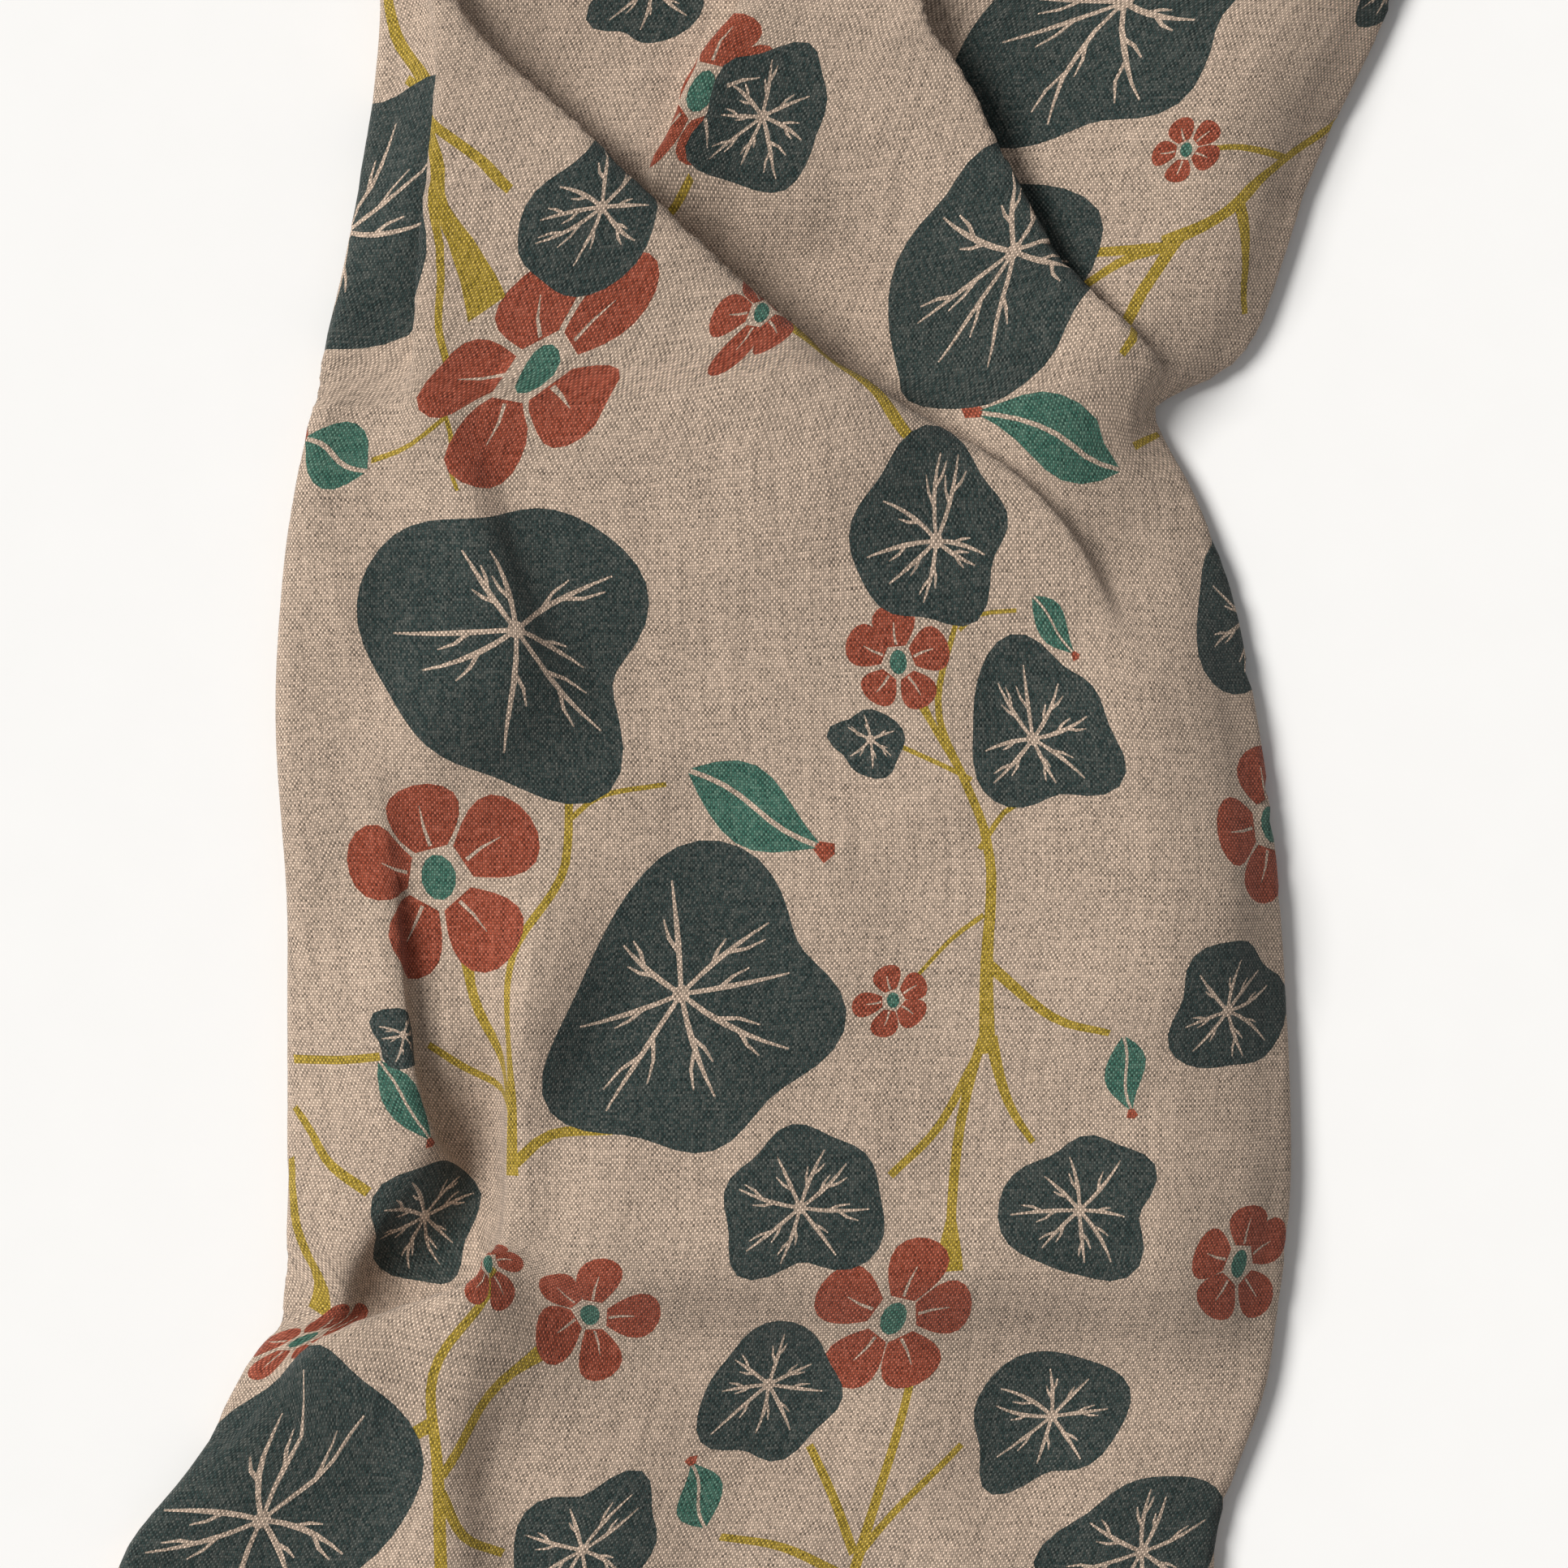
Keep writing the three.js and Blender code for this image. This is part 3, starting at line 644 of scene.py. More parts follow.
BUDS = [
    (67, 86, 43, 17, 165), (-7, -6, 41, 19, -30), (66, 39, 17, 8, -50), (84, -71, 21, 10, -80),
    (-21, -176, 20, 11, 110), (-112, 81, 24, 16, 150), (-93, -78, 24, 11, -60)]
for x, y, radius in LEAVES:
    place, turn = flat_place(x, y)
    print_leaf(place, -turn + hand.uniform(-0.4, 0.4), radius)
for x, y, radius, tilt in FLOWERS:
    place, turn = flat_place(x, y)
    print_flower(place, -turn + tilt, radius)
for x, y, length, breadth, heading in BUDS:
    place, turn = flat_place(x, y)
    print_bud(place, -turn + math.radians(heading), length, breadth)
print(len(blocks), "blocks so far")

# %% Stems of the gathered middle: points on the table, then widths at the start, the end and between
STEMS = [
    ([(43, 43), (38, 17), (49, -11), (50, -43), (50, -66)], 1.2, 4.0, 2.8),
    ([(50, -44), (66, -57), (80, -61)], 2.8, 1.6, None),
    ([(51, -62), (55, -78), (61, -88)], 3.0, 1.6, None),
    ([(49, -62), (43, -85), (41, -103), (40, -119)], 2.4, 8.0, 2.4),
    ([(48, -66), (38, -84), (26, -96)], 2.2, 2.0, None),
    ([(49, -32), (41, -38), (33, -47)], 1.4, 1.0, None),
    ([(48, -16), (54, -7), (60, -4)], 1.4, 1.2, None),
    ([(46, 1), (38, 5), (29, 9)], 1.2, 1.2, None),
    ([(45, -1), (38, 12), (32, 23)], 1.2, 3.2, 1.8),
    ([(43, 38), (48, 42), (57, 43)], 1.0, 0.9, None),
    ([(-53, 0), (-55, -23), (-67, -42), (-69, -58), (-67, -78), (-67, -96)], 2.0, 4.2, 2.6),
    ([(-53, -9), (-45, -3), (-29, 0)], 1.4, 1.2, None),
    ([(-67, -80), (-75, -56), (-79, -36)], 2.8, 5.6, 2.4),
    ([(-68, -78), (-78, -70), (-87, -64)], 2.0, 1.8, None),
    ([(-66, -93), (-57, -86), (-42, -85)], 2.8, 2.2, None),
    ([(-97, 215), (-96, 185), (-88, 160), (-82, 138), (-72, 117)], 3.0, 8.5, 3.4),
    ([(-93, 174), (-80, 158), (-67, 146)], 2.0, 2.0, None),
    ([(-86, 150), (-84, 132), (-84, 112), (-83, 90), (-80, 72)], 2.2, 1.0, None),
    ([(-83, 90), (-92, 84), (-102, 80)], 1.2, 1.6, None),
    ([(2, 112), (17, 101), (32, 84)], 3.2, 2.4, None),
    ([(-121, -68), (-108, -68), (-99, -67)], 2.2, 2.0, None),
    ([(-121, -80), (-113, -92), (-102, -100)], 2.2, 2.2, None),
    ([(-122, -92), (-119, -113), (-115, -130)], 2.4, 6.5, 2.8),
    ([(-70, -118), (-84, -140), (-85, -165), (-84, -200), (-84, -235)], 2.2, 4.0, 3.2),
    ([(-85, -156), (-98, -162), (-113, -160)], 3.2, 2.4, None),
    ([(-84, -170), (-72, -150), (-57, -137)], 2.6, 5.0, 2.6),
    ([(-84, -174), (-79, -185), (-69, -190)], 2.4, 2.0, None),
    ([(31, -148), (25, -170), (16, -198), (8, -240)], 2.0, 4.0, 3.0),
    ([(6, -163), (13, -178), (17, -190)], 1.8, 2.2, None),
    ([(44, -163), (30, -177), (19, -189)], 1.8, 2.4, None),
    ([(-16, -186), (0, -188), (14, -195)], 1.8, 2.2, None),
    ([(138, 164), (123, 153), (107, 139), (93, 133)], 2.0, 4.0, 3.0),
    ([(103, 156), (112, 156), (124, 154)], 1.2, 1.8, None),
    ([(62, 135), (76, 131), (93, 132)], 1.8, 2.6, None),
    ([(72, 121), (82, 128), (94, 132)], 2.0, 2.6, None),
    ([(83, 105), (88, 121), (97, 134)], 2.4, 3.4, None),
    ([(114, 116), (114, 130), (112, 142)], 1.8, 3.0, None),
    ([(-23, 150), (-25, 137)], 1.8, 2.2, None),
    ([(86, 84), (93, 87)], 1.6, 1.2, None),
    ([(102, -188), (110, -184)], 2.0, 2.0, None),
]
for points, start_width, end_width, middle_width in STEMS:
    print_stem([flat_place(x, y)[0] for x, y in points], start_width, end_width, middle_width)
print(len(blocks), "blocks with the stems")

# %% [markdown]
# Past the middle the same kinds of block are scattered over the rest of the cloth. Each is dropped at a
# seeded place, kept only if it clears those already there, and joined by a side stem to the nearest vine.

# %% The rest of the print
MIDDLE_REACH = 232              # the placed blocks reach this far from the middle of the length
VINES_ACROSS = (62, 200, 338)
CLEARANCE = 7.0
TRIES_PER_BLOCK = 30
SCATTERED = (("leaf", 33, 19), ("flower", 25, 18), ("bud", 19, 16), ("leaf", 18, 42), ("flower", 16, 24),
             ("flower", 11, 18), ("bud", 10, 20))       # kind, size, how many
taken = [(*flat_place(x, y)[0], radius) for x, y, radius in LEAVES]
taken += [(*flat_place(x, y)[0], radius) for x, y, radius, _ in FLOWERS]
taken += [(*flat_place(x, y)[0], length / 2) for x, y, length, _, _ in BUDS]
scatter = random.Random(23)
far_middle = LENGTH / 2
SHOW_MARGIN = 1.35              # room asked for around a block, as a share of its size
SIDE_STEP = 12.0


def vine_at(line, along):
    return VINES_ACROSS[line] + 17 * math.sin(along / 61 + line * 2.1) + 8 * math.sin(along / 27 + line)


middle_ys = np.arange(-MIDDLE_REACH - 20, MIDDLE_REACH + 21, SIDE_STEP)
shown_left = [flat_place(left_outline(y) + 2, y)[0][0] for y in middle_ys]
shown_right = [flat_place(right_outline(y) - 2, y)[0][0] for y in middle_ys]


def shows(across, along, size):
    """Whether a block would show between the turned sides of the gathered middle."""
    y, margin = along - far_middle, SHOW_MARGIN * size
    left, right = np.interp(y, middle_ys, shown_left), np.interp(y, middle_ys, shown_right)
    between_sides = left - margin < across < right + margin
    return abs(y) < MIDDLE_REACH and between_sides


scattered = []
for kind, usual_size, wanted in SCATTERED:
    placed = 0
    for _ in range(wanted * TRIES_PER_BLOCK):
        size = usual_size * scatter.uniform(0.88, 1.1)
        across, along = scatter.uniform(-4, WIDTH + 4), scatter.uniform(-4, LENGTH + 4)
        if shows(across, along, size) or any(
                math.dist((across, along), other[:2]) < size + other[2] + CLEARANCE for other in taken):
            continue
        taken.append((across, along, size))
        scattered.append((kind, across, along, size))
        placed += 1
        if placed == wanted:
            break
for kind, across, along, size in scattered:
    place, turn = np.array([across, along]), scatter.uniform(0, math.tau)
    line = min(range(len(VINES_ACROSS)), key=lambda one: abs(vine_at(one, along) - across))
    foot = along - 0.55 * abs(vine_at(line, along) - across) - size
    if abs(foot - far_middle) > MIDDLE_REACH + 10 and 0 < foot < LENGTH:
        root = np.array([vine_at(line, foot), foot])
        way = place - root
        bow = root + 0.55 * way + 0.16 * np.array([-way[1], way[0]]) * math.copysign(1, way[0])
        head = place - way / np.linalg.norm(way) * size * (0.2 if kind != "flower" else 0.3)
        print_stem([root, bow, head], 2.4, 4.0 if kind == "flower" and size > 18 else 1.6, 1.8)
    if kind == "leaf":
        print_leaf(place, turn, size, detail=0.7)
    elif kind == "flower":
        print_flower(place, turn, size, points=6)
    else:
        print_bud(place, turn, size * 2, size * 0.95)
for line in range(len(VINES_ACROSS)):
    for first, last in ((0, far_middle - MIDDLE_REACH), (far_middle + MIDDLE_REACH, LENGTH)):
        steps = np.linspace(first, last, 24)
        print_stem([(vine_at(line, along), along) for along in steps], 3.0, 3.0)
print(len(scattered), "scattered blocks;", len(blocks), "outlines in all")

# %% [markdown]
# ## The cloth's mesh
# The flat cloth is divided into triangles by a constrained Delaunay triangulation. It keeps every printed
# outline as a chain of edges, and fills the space between with an even grid: fine where the cloth is
# folded, coarser where it lies flat. The flat mesh is then carried to the laid cloth.

# %% Points and outlines for the triangulation
FINE_STEP = 3.7
COARSE_STEP = 9.0
FINE_REACH = 245                # the fine grid reaches this far from the middle of the length
BEND_PER_POINT = 0.4            # radians of bend that earn a row one more point
CLEAR_OF_OUTLINES = 1.3


def clip_to_cloth(outline):
    """The part of an outline that is on the cloth, by cutting it at each of the four sides in turn."""
    for axis, limit, sign in ((0, 0.05, 1), (0, WIDTH - 0.05, -1), (1, 0.05, 1), (1, LENGTH - 0.05, -1)):
        kept = []
        for a, b in zip(outline, np.roll(outline, -1, axis=0)):
            inside_a, inside_b = sign * (a[axis] - limit) >= 0, sign * (b[axis] - limit) >= 0
            if inside_a:
                kept.append(a)
            if inside_a != inside_b:
                kept.append(a + (b - a) * (limit - a[axis]) / (b[axis] - a[axis]))
        if len(kept) < 3:
            return None
        outline = np.array(kept)
    return outline


def counter_clockwise(outline):
    x, y = outline.T
    return outline if (x * np.roll(y, -1) - np.roll(x, -1) * y).sum() > 0 else outline[::-1]


outlines = [(ink, clip_to_cloth(outline)) for ink, outline in blocks]
outlines = [(ink, counter_clockwise(outline)) for ink, outline in outlines if outline is not None]
near_outline = set()
for _, outline in outlines:
    for a, b in zip(outline, np.roll(outline, -1, axis=0)):
        count = int(np.linalg.norm(b - a) / CLEAR_OF_OUTLINES) + 1
        for t in np.arange(count) / count:
            cell = np.floor((a + (b - a) * t) / CLEAR_OF_OUTLINES).astype(int)
            near_outline.update((cell[0] + i, cell[1] + j) for i in (-1, 0, 1) for j in (-1, 0, 1))

rows = [0.0]
while rows[-1] < LENGTH:
    rows.append(rows[-1] + (FINE_STEP if abs(rows[-1] - far_middle) < FINE_REACH else COARSE_STEP))
rows = np.array(rows) * LENGTH / rows[-1]


def places_across(along, step, shifted):
    """Places for one row's points: every step, and closer together where the laid cloth bends."""
    thread = np.diff(laid[round(along / LENGTH * (section_count - 1))], axis=0)
    thread /= np.linalg.norm(thread, axis=1, keepdims=True)
    bend = np.arccos(np.clip((thread[:-1] * thread[1:]).sum(1), -1, 1))
    each = ACROSS_STEP / step + np.concatenate([bend, [0]]) / BEND_PER_POINT
    weight = np.concatenate([[0], np.cumsum(each)])
    count = math.ceil(weight[-1])
    shares = (np.arange(1, count) + (0.5 if shifted else 0)) / (count + (0.5 if shifted else 0))
    return np.interp(shares * weight[-1], weight, across_places)


grid_points = []
for number, along in enumerate(rows):
    on_rim = number in (0, len(rows) - 1)
    step = FINE_STEP if abs(along - far_middle) < FINE_REACH + 4 else COARSE_STEP
    for across in [0.0, *places_across(along, step, number % 2 and not on_rim), WIDTH]:
        cell = (math.floor(across / CLEAR_OF_OUTLINES), math.floor(along / CLEAR_OF_OUTLINES))
        if on_rim or across in (0.0, WIDTH) or cell not in near_outline:
            grid_points.append((across, along))
print(len(grid_points), "grid points,", sum(len(outline) for _, outline in outlines), "outline points")

# %% Triangles, each in one ink
MERGE_WITHIN = 0.02
flat_points = [Vector(point) for point in grid_points]
block_faces = []
for _, outline in outlines:
    block_faces.append(list(range(len(flat_points), len(flat_points) + len(outline))))
    flat_points.extend(Vector(point) for point in outline)
verts, _, triangles, _, _, sources = delaunay_2d_cdt(flat_points, [], block_faces, 0, MERGE_WITHIN, True)
flat = np.array([tuple(point) for point in verts])
triangles = np.array([face for face in triangles if len(face) == 3])
ink_of = np.array([max((outlines[i][0] for i in source), default=BARE) for source in sources])
a, b, c = flat[triangles[:, 0]], flat[triangles[:, 1]], flat[triangles[:, 2]]
size = (b[:, 0] - a[:, 0]) * (c[:, 1] - a[:, 1]) - (b[:, 1] - a[:, 1]) * (c[:, 0] - a[:, 0])
triangles[size < 0] = triangles[size < 0][:, ::-1]
print(len(flat), "points and", len(triangles), "triangles on the front of the cloth")

# %% The cloth: its front, its back and the cut edge between them
half_thickness = CLOTH_THICKNESS / 2
front = carry(flat[:, 0], flat[:, 1], half_thickness)
back = carry(flat[:, 0], flat[:, 1], -half_thickness)
edge_uses = {}
for face in triangles:
    for start, end in zip(face, np.roll(face, -1)):
        edge_uses[(int(start), int(end))] = True
rim = [(start, end) for start, end in edge_uses if (end, start) not in edge_uses]
count = len(flat)
faces = [tuple(map(int, face)) for face in triangles]
faces += [(int(face[2]) + count, int(face[1]) + count, int(face[0]) + count) for face in triangles]
faces += [(start + count, end + count, end, start) for start, end in rim]

cloth_mesh = bpy.data.meshes.new("printed_cloth")
cloth_mesh.from_pydata(np.vstack([front, back]).tolist(), [], faces)
cloth = bpy.data.objects.new("printed_cloth", cloth_mesh)
bpy.context.scene.collection.objects.link(cloth)
cloth_mesh.polygons.foreach_set("use_smooth", [True] * len(faces))

flat_map = cloth_mesh.uv_layers.new(name="flat_cloth")
corner_points = np.zeros(len(cloth_mesh.loops), int)
cloth_mesh.loops.foreach_get("vertex_index", corner_points)
flat_map.data.foreach_set("uv", (flat[corner_points % count] * MM).ravel())
print(len(rim), "edges on the rim,", len(faces), "faces in all")

# %% [markdown]
# ## Linen
# Linen is woven from uneven threads. Each thread has its own thickness and tone, now and then a slub
# swells it, and the cloth's colour shows bare through the ink where the threads sink. The weave is worked
# out from the flat-cloth map, so it bends with the folds, and it stands up as a bump.

# %% Ink colours, carried by the faces
INK_COLOURS = {
    BARE: (0.515, 0.395, 0.302), BARE_LINE: (0.515, 0.395, 0.302), GREEN: (0.026, 0.046, 0.043),
    TEAL: (0.045, 0.145, 0.105), RED: (0.31, 0.062, 0.028), MUSTARD: (0.39, 0.27, 0.028)}
BACK_STRENGTH = 0.3             # how much of an ink comes through to the back
palette = np.array([INK_COLOURS[ink] for ink in range(6)])
front_colours = palette[ink_of]
back_colours = palette[BARE] + (front_colours - palette[BARE]) * BACK_STRENGTH
face_colours = np.vstack([front_colours, back_colours, np.tile(palette[BARE], (len(rim), 1))])
face_sizes = np.array([len(face) for face in faces])
corner_colours = np.hstack([np.repeat(face_colours, face_sizes, axis=0), np.ones((face_sizes.sum(), 1))])
print_layer = cloth_mesh.color_attributes.new("print", "FLOAT_COLOR", "CORNER")
print_layer.data.foreach_set("color", corner_colours.ravel())

# %% The linen material
WARP_PITCH = 0.56               # millimetres from thread to thread
WEFT_PITCH = 0.66
THREAD_CONTRAST = 0.95          # how much one thread's tone differs from the next
CROSSING_CONTRAST = 0.5         # and one crossing's from the next
WARP_SLUB_CONTRAST = 0.55
WEFT_SLUB_CONTRAST = 0.2
CLOUD_CONTRAST = 0.22
OVER_CONTRAST = 0.6             # how much lighter the warp is than the weft
PAINTED_GAP_SHADE = 0.6              # painted shade: how much darker the gaps between threads are painted
DARKEST_TONE = 0.12
THREAD_WANDER = 1.6             # how far a thread strays from its straight line, in pitches
WORN_INK = 0.035                # how much bare linen comes through the ink, and how it varies
WORN_INK_CHANGE = 0.1


def linen_material(name, colour_source):
    """Plain-woven linen. colour_source is a colour, or the name of the attribute that holds the print."""
    material, shader, add, link = new_material(name)

    def calc(operation, *values, clamp=False):
        node = add("ShaderNodeMath", dict(enumerate(values)), operation=operation)
        node.use_clamp = clamp
        return node.outputs[0]

    uv = add("ShaderNodeUVMap", uv_map="flat_cloth").outputs["UV"]

    def noise(across, along, detail=0.0):
        """Noise with so many swells to the metre each way, from about -0.5 to 0.5."""
        at = add("ShaderNodeMapping", {"Vector": uv, "Scale": (across, along, 1)}).outputs["Vector"]
        found = add("ShaderNodeTexNoise", {"Vector": at, "Scale": 1.0, "Detail": detail, "Roughness": 0.6})
        return calc("SUBTRACT", found.outputs["Fac"], 0.5)

    parts = add("ShaderNodeSeparateXYZ", {"Vector": uv})
    warp = calc("ADD", calc("MULTIPLY", parts.outputs["X"], 1000 / WARP_PITCH),
                calc("MULTIPLY", noise(60, 140), THREAD_WANDER))
    weft = calc("ADD", calc("MULTIPLY", parts.outputs["Y"], 1000 / WEFT_PITCH),
                calc("MULTIPLY", noise(140, 60), THREAD_WANDER))
    warp_wave = calc("SINE", calc("MULTIPLY", warp, math.pi))
    weft_wave = calc("SINE", calc("MULTIPLY", weft, math.pi))
    over = calc("MULTIPLY", warp_wave, weft_wave)
    crown = calc("MULTIPLY", calc("ABSOLUTE", warp_wave), calc("ABSOLUTE", weft_wave))
    warp_on_top = calc("ADD", calc("MULTIPLY", over, 2.0), 0.5, clamp=True)

    cell = add("ShaderNodeCombineXYZ", {"X": calc("FLOOR", warp), "Y": calc("FLOOR", weft)}).outputs["Vector"]
    each = calc("SUBTRACT", add("ShaderNodeTexWhiteNoise", {"Vector": cell}).outputs["Value"], 0.5)
    warp_tone = noise(1000 / WARP_PITCH, 34, 2.0)
    weft_tone = noise(40, 1000 / WEFT_PITCH, 2.0)
    top_tone = add("ShaderNodeMix", {"Factor": warp_on_top, "A": weft_tone, "B": warp_tone}).outputs["Result"]
    tone = calc("ADD", 1.0, calc("MULTIPLY", top_tone, THREAD_CONTRAST))
    tone = calc("ADD", tone, calc("MULTIPLY", each, CROSSING_CONTRAST))
    tone = calc("ADD", tone, calc("MULTIPLY", noise(400, 26, 3.0), WARP_SLUB_CONTRAST))
    tone = calc("ADD", tone, calc("MULTIPLY", noise(30, 300, 2.0), WEFT_SLUB_CONTRAST))
    tone = calc("ADD", tone, calc("MULTIPLY", noise(22, 16, 4.0), CLOUD_CONTRAST))
    tone = calc("ADD", tone, calc("MULTIPLY", over, OVER_CONTRAST))
    # Painted shade and light on the weave: the gaps between threads are darkened and the crowns of the
    # threads lightened.
    shade = calc("ADD", 1 - PAINTED_GAP_SHADE, calc("MULTIPLY", calc("POWER", crown, 0.6), PAINTED_GAP_SHADE * 1.25))
    tone = calc("MAXIMUM", calc("MULTIPLY", tone, shade), DARKEST_TONE)

    if isinstance(colour_source, str):
        base = add("ShaderNodeVertexColor", layer_name=colour_source).outputs["Color"]
    else:
        base = add("ShaderNodeRGB").outputs[0]
        base.default_value = (*colour_source, 1)
    uneven = calc("MULTIPLY", calc("ADD", each, top_tone), WORN_INK_CHANGE)
    wear = calc("ADD", WORN_INK, uneven, clamp=True)
    worn = add("ShaderNodeMix", {"Factor": wear, "A": base, "B": (0.50, 0.36, 0.30, 1)}, data_type="RGBA")
    toned = add("ShaderNodeVectorMath", {0: worn.outputs["Result"], "Scale": tone}, operation="SCALE")
    link(toned.outputs["Vector"], shader.inputs["Base Color"])
    raised = calc("ADD", calc("MULTIPLY", crown, 0.7), calc("MULTIPLY", over, 0.35))
    raised = calc("ADD", raised, calc("MULTIPLY", top_tone, 0.7))
    bump = add("ShaderNodeBump", {"Height": raised, "Strength": 0.8, "Distance": 0.2 * MM})
    link(bump.outputs["Normal"], shader.inputs["Normal"])
    shader.inputs["Roughness"].default_value = 0.93
    shader.inputs["Specular IOR Level"].default_value = 0.2
    shader.inputs["Sheen Weight"].default_value = 0.1
    shader.inputs["Sheen Roughness"].default_value = 0.6
    return material


printed_linen = linen_material("printed_linen", "print")
cloth.data.materials.append(printed_linen)
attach(cloth, "root")
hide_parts("linen_panel")

# %% [markdown]
# ## Hems
# The edge of the cloth is turned twice to the back and sewn. From above that is only a slightly raised
# band, but from the side it is a rounded fold. Each hem is one strip: the fold that closes the cut edge
# of the cloth, and the turned layers under it. It is swept along the edge of the cloth as a section.

# %% A hem's section: distance in from the fold, and height above the middle of the cloth
HEM_DEPTH = 1.05                # the turned layers, under the back of the cloth
FOLD_RADIUS = (HEM_DEPTH + CLOTH_THICKNESS) / 2 + 0.03


def hem_section(hem_width):
    middle = half_thickness + 0.03 - FOLD_RADIUS
    nose = [(0.35 - FOLD_RADIUS * math.sin(angle), middle + FOLD_RADIUS * math.cos(angle))
            for angle in np.linspace(0, math.pi, 8)]
    under = -half_thickness - HEM_DEPTH
    top = -half_thickness - 0.04
    return nose + [(hem_width - 0.5, under), (hem_width, under + 0.3), (hem_width, top - 0.25),
                   (hem_width - 0.4, top), (0.8, top), (0.45, half_thickness + 0.03)]


def closed_piece(name, points, faces):
    """A smoothly shaded object whose faces all point outwards."""
    mesh = bpy.data.meshes.new(name)
    mesh.from_pydata(points.tolist(), [], faces)
    shape = bmesh.new()
    shape.from_mesh(mesh)
    bmesh.ops.recalc_face_normals(shape, faces=shape.faces)
    shape.to_mesh(mesh)
    shape.free()
    mesh.polygons.foreach_set("use_smooth", [True] * len(mesh.polygons))
    piece = bpy.data.objects.new(name, mesh)
    bpy.context.scene.collection.objects.link(piece)
    return piece


def swept_hem(name, hem_width, places):
    """A closed strip. places(inward) gives the flat places across and along, for one line of the section."""
    lines = [np.array(carry(*places(inward), above)) for inward, above in hem_section(hem_width)]
    flat_lines = [np.stack(places(inward), 1) for inward, _ in hem_section(hem_width)]
    around, stations = len(lines), len(lines[0])
    points = np.stack(lines, 1).reshape(-1, 3)
    flats = np.stack(flat_lines, 1).reshape(-1, 2) * MM
    quads = [(i * around + j, i * around + (j + 1) % around, (i + 1) * around + (j + 1) % around,
              (i + 1) * around + j) for i in range(stations - 1) for j in range(around)]
    caps = [tuple(range(around))[::-1], tuple(range((stations - 1) * around, stations * around))]
    hem = closed_piece(name, points, quads + caps)
    layer = hem.data.uv_layers.new(name="flat_cloth")
    corners = np.zeros(len(hem.data.loops), int)
    hem.data.loops.foreach_get("vertex_index", corners)
    layer.data.foreach_set("uv", flats[corners].ravel())
    return hem


# %% The four hems
HEM_STEP = 4.0
hem_linen = linen_material("hem_linen", tuple(palette[BARE] * 0.97))
long_run = np.arange(END_HEM, LENGTH - END_HEM + HEM_STEP / 2, HEM_STEP)
long_run[-1] = LENGTH - END_HEM
short_run = np.linspace(0.35, WIDTH - 0.35, 82)
hems = {
    "left": swept_hem("left_hem_fold", SIDE_HEM,
                      lambda inward: (np.full_like(long_run, inward), long_run)),
    "right": swept_hem("right_hem_fold", SIDE_HEM,
                       lambda inward: (np.full_like(long_run, WIDTH - inward), long_run)),
    "near_end": swept_hem("near_end_hem_fold", END_HEM,
                          lambda inward: (short_run, np.full_like(short_run, inward))),
    "far_end": swept_hem("far_end_hem_fold", END_HEM,
                         lambda inward: (short_run, np.full_like(short_run, LENGTH - inward))),
}
for side, hem in hems.items():
    hem.data.materials.append(hem_linen)
    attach(hem, "root")
    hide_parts(f"hem_{side}")
    print(hem.name, len(hem.data.polygons), "faces")

# %% [markdown]
# ## Stitches
# A hem is held by a row of lockstitches a little in from its inner edge. One stitch is modelled as a
# short thread that dips into the cloth at both ends, and is then copied along each hem.

# %% One stitch, 2.7 mm long, lying along Y
STITCH_LENGTH = 2.7
STITCH_PITCH = 3.3
THREAD_RADIUS = 0.2
bpy.ops.object.select_all(action="DESELECT")
bpy.ops.mesh.primitive_uv_sphere_add(segments=8, ring_count=6, radius=1, location=(0, 0, 0))
stitch = bpy.context.object
bpy.ops.transform.resize(value=(THREAD_RADIUS, THREAD_RADIUS * 0.8, STITCH_LENGTH / 2))
bpy.ops.object.transform_apply(location=False, rotation=False, scale=True)
stitch_points = np.array([vertex.co for vertex in stitch.data.vertices])[:, [0, 2, 1]] * [1, 1, -1]
stitch_points[:, 2] -= 0.22 * (stitch_points[:, 1] / (STITCH_LENGTH / 2)) ** 2
stitch_faces = [tuple(face.vertices) for face in stitch.data.polygons]
bpy.data.objects.remove(stitch)


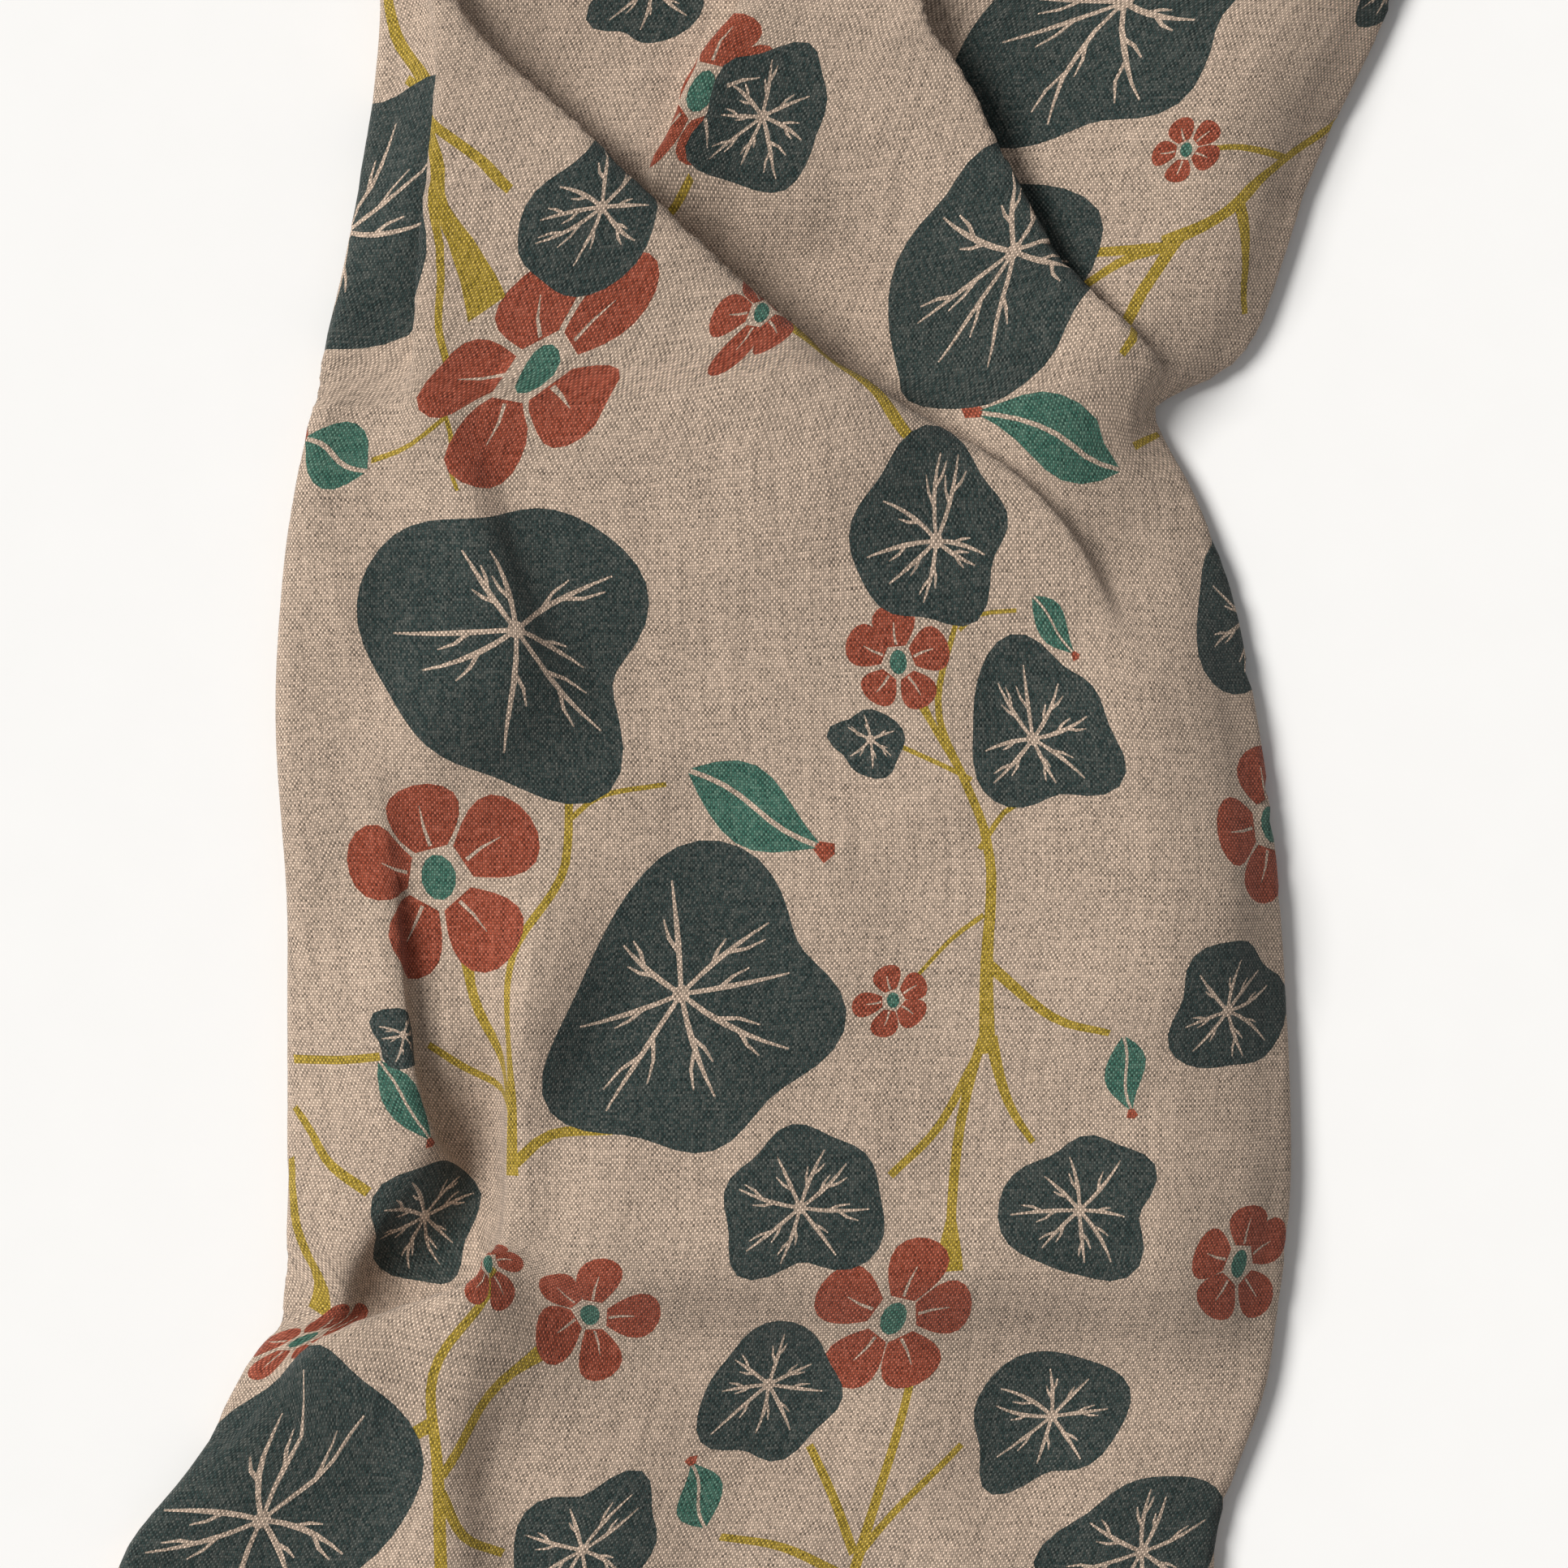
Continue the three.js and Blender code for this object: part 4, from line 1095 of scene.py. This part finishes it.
def stitch_row(name, start, end):
    """A row of stitches on the flat cloth from start to end, carried to the laid cloth."""
    start, end = np.array(start, float), np.array(end, float)
    length = np.linalg.norm(end - start)
    ahead = (end - start) / length
    aside = np.array([ahead[1], -ahead[0]])
    count = int(length / STITCH_PITCH)
    middles = start + (np.arange(count)[:, None] + 0.5) * STITCH_PITCH * ahead
    flats = middles[:, None] + stitch_points[None, :, :1] * aside + stitch_points[None, :, 1:2] * ahead
    above = np.tile(half_thickness + 0.12 + stitch_points[:, 2], count)
    flats = flats.reshape(-1, 2)
    points = carry(flats[:, 0], flats[:, 1], above)
    size = len(stitch_points)
    faces = [tuple(i * size + corner for corner in face) for i in range(count) for face in stitch_faces]
    print(name, count, "stitches")
    return closed_piece(name, points, faces)


# %% Sewing thread
thread, shader, add, link = new_material("sewing_thread")
at = add("ShaderNodeTexCoord").outputs["Object"]
ply = add("ShaderNodeTexWave", {"Vector": at, "Scale": 900.0, "Distortion": 2.0}, bands_direction="DIAGONAL")
fibre = add("ShaderNodeTexNoise", {"Vector": at, "Scale": 2500.0, "Detail": 2.0})
twist = add("ShaderNodeMath", {0: ply.outputs["Fac"], 1: fibre.outputs["Fac"]}, operation="MULTIPLY")
thread_tones = {"A": (0.50, 0.41, 0.33, 1), "B": (0.80, 0.71, 0.60, 1)}
tone = add("ShaderNodeMix", {"Factor": twist.outputs[0], **thread_tones}, data_type="RGBA")
link(tone.outputs["Result"], shader.inputs["Base Color"])
bump = add("ShaderNodeBump", {"Height": twist.outputs[0], "Strength": 0.5, "Distance": 0.05 * MM})
link(bump.outputs["Normal"], shader.inputs["Normal"])
shader.inputs["Roughness"].default_value = 0.7
shader.inputs["Sheen Weight"].default_value = 0.2

# %% The four rows
STITCH_INSET = 1.5
side_line, end_line = SIDE_HEM - STITCH_INSET, END_HEM - STITCH_INSET
far_side_line, far_end_line = WIDTH - side_line, LENGTH - end_line
rows_of_stitches = {
    "left": stitch_row("left_stitch_row", (side_line, END_HEM), (side_line, LENGTH - END_HEM)),
    "right": stitch_row("right_stitch_row", (far_side_line, END_HEM), (far_side_line, LENGTH - END_HEM)),
    "near_end": stitch_row("near_end_stitch_row", (SIDE_HEM, end_line), (WIDTH - SIDE_HEM, end_line)),
    "far_end": stitch_row("far_end_stitch_row", (SIDE_HEM, far_end_line), (WIDTH - SIDE_HEM, far_end_line)),
}
for side, row in rows_of_stitches.items():
    row.data.materials.append(thread)
    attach(row, "root")
    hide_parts(f"stitches_{side}")
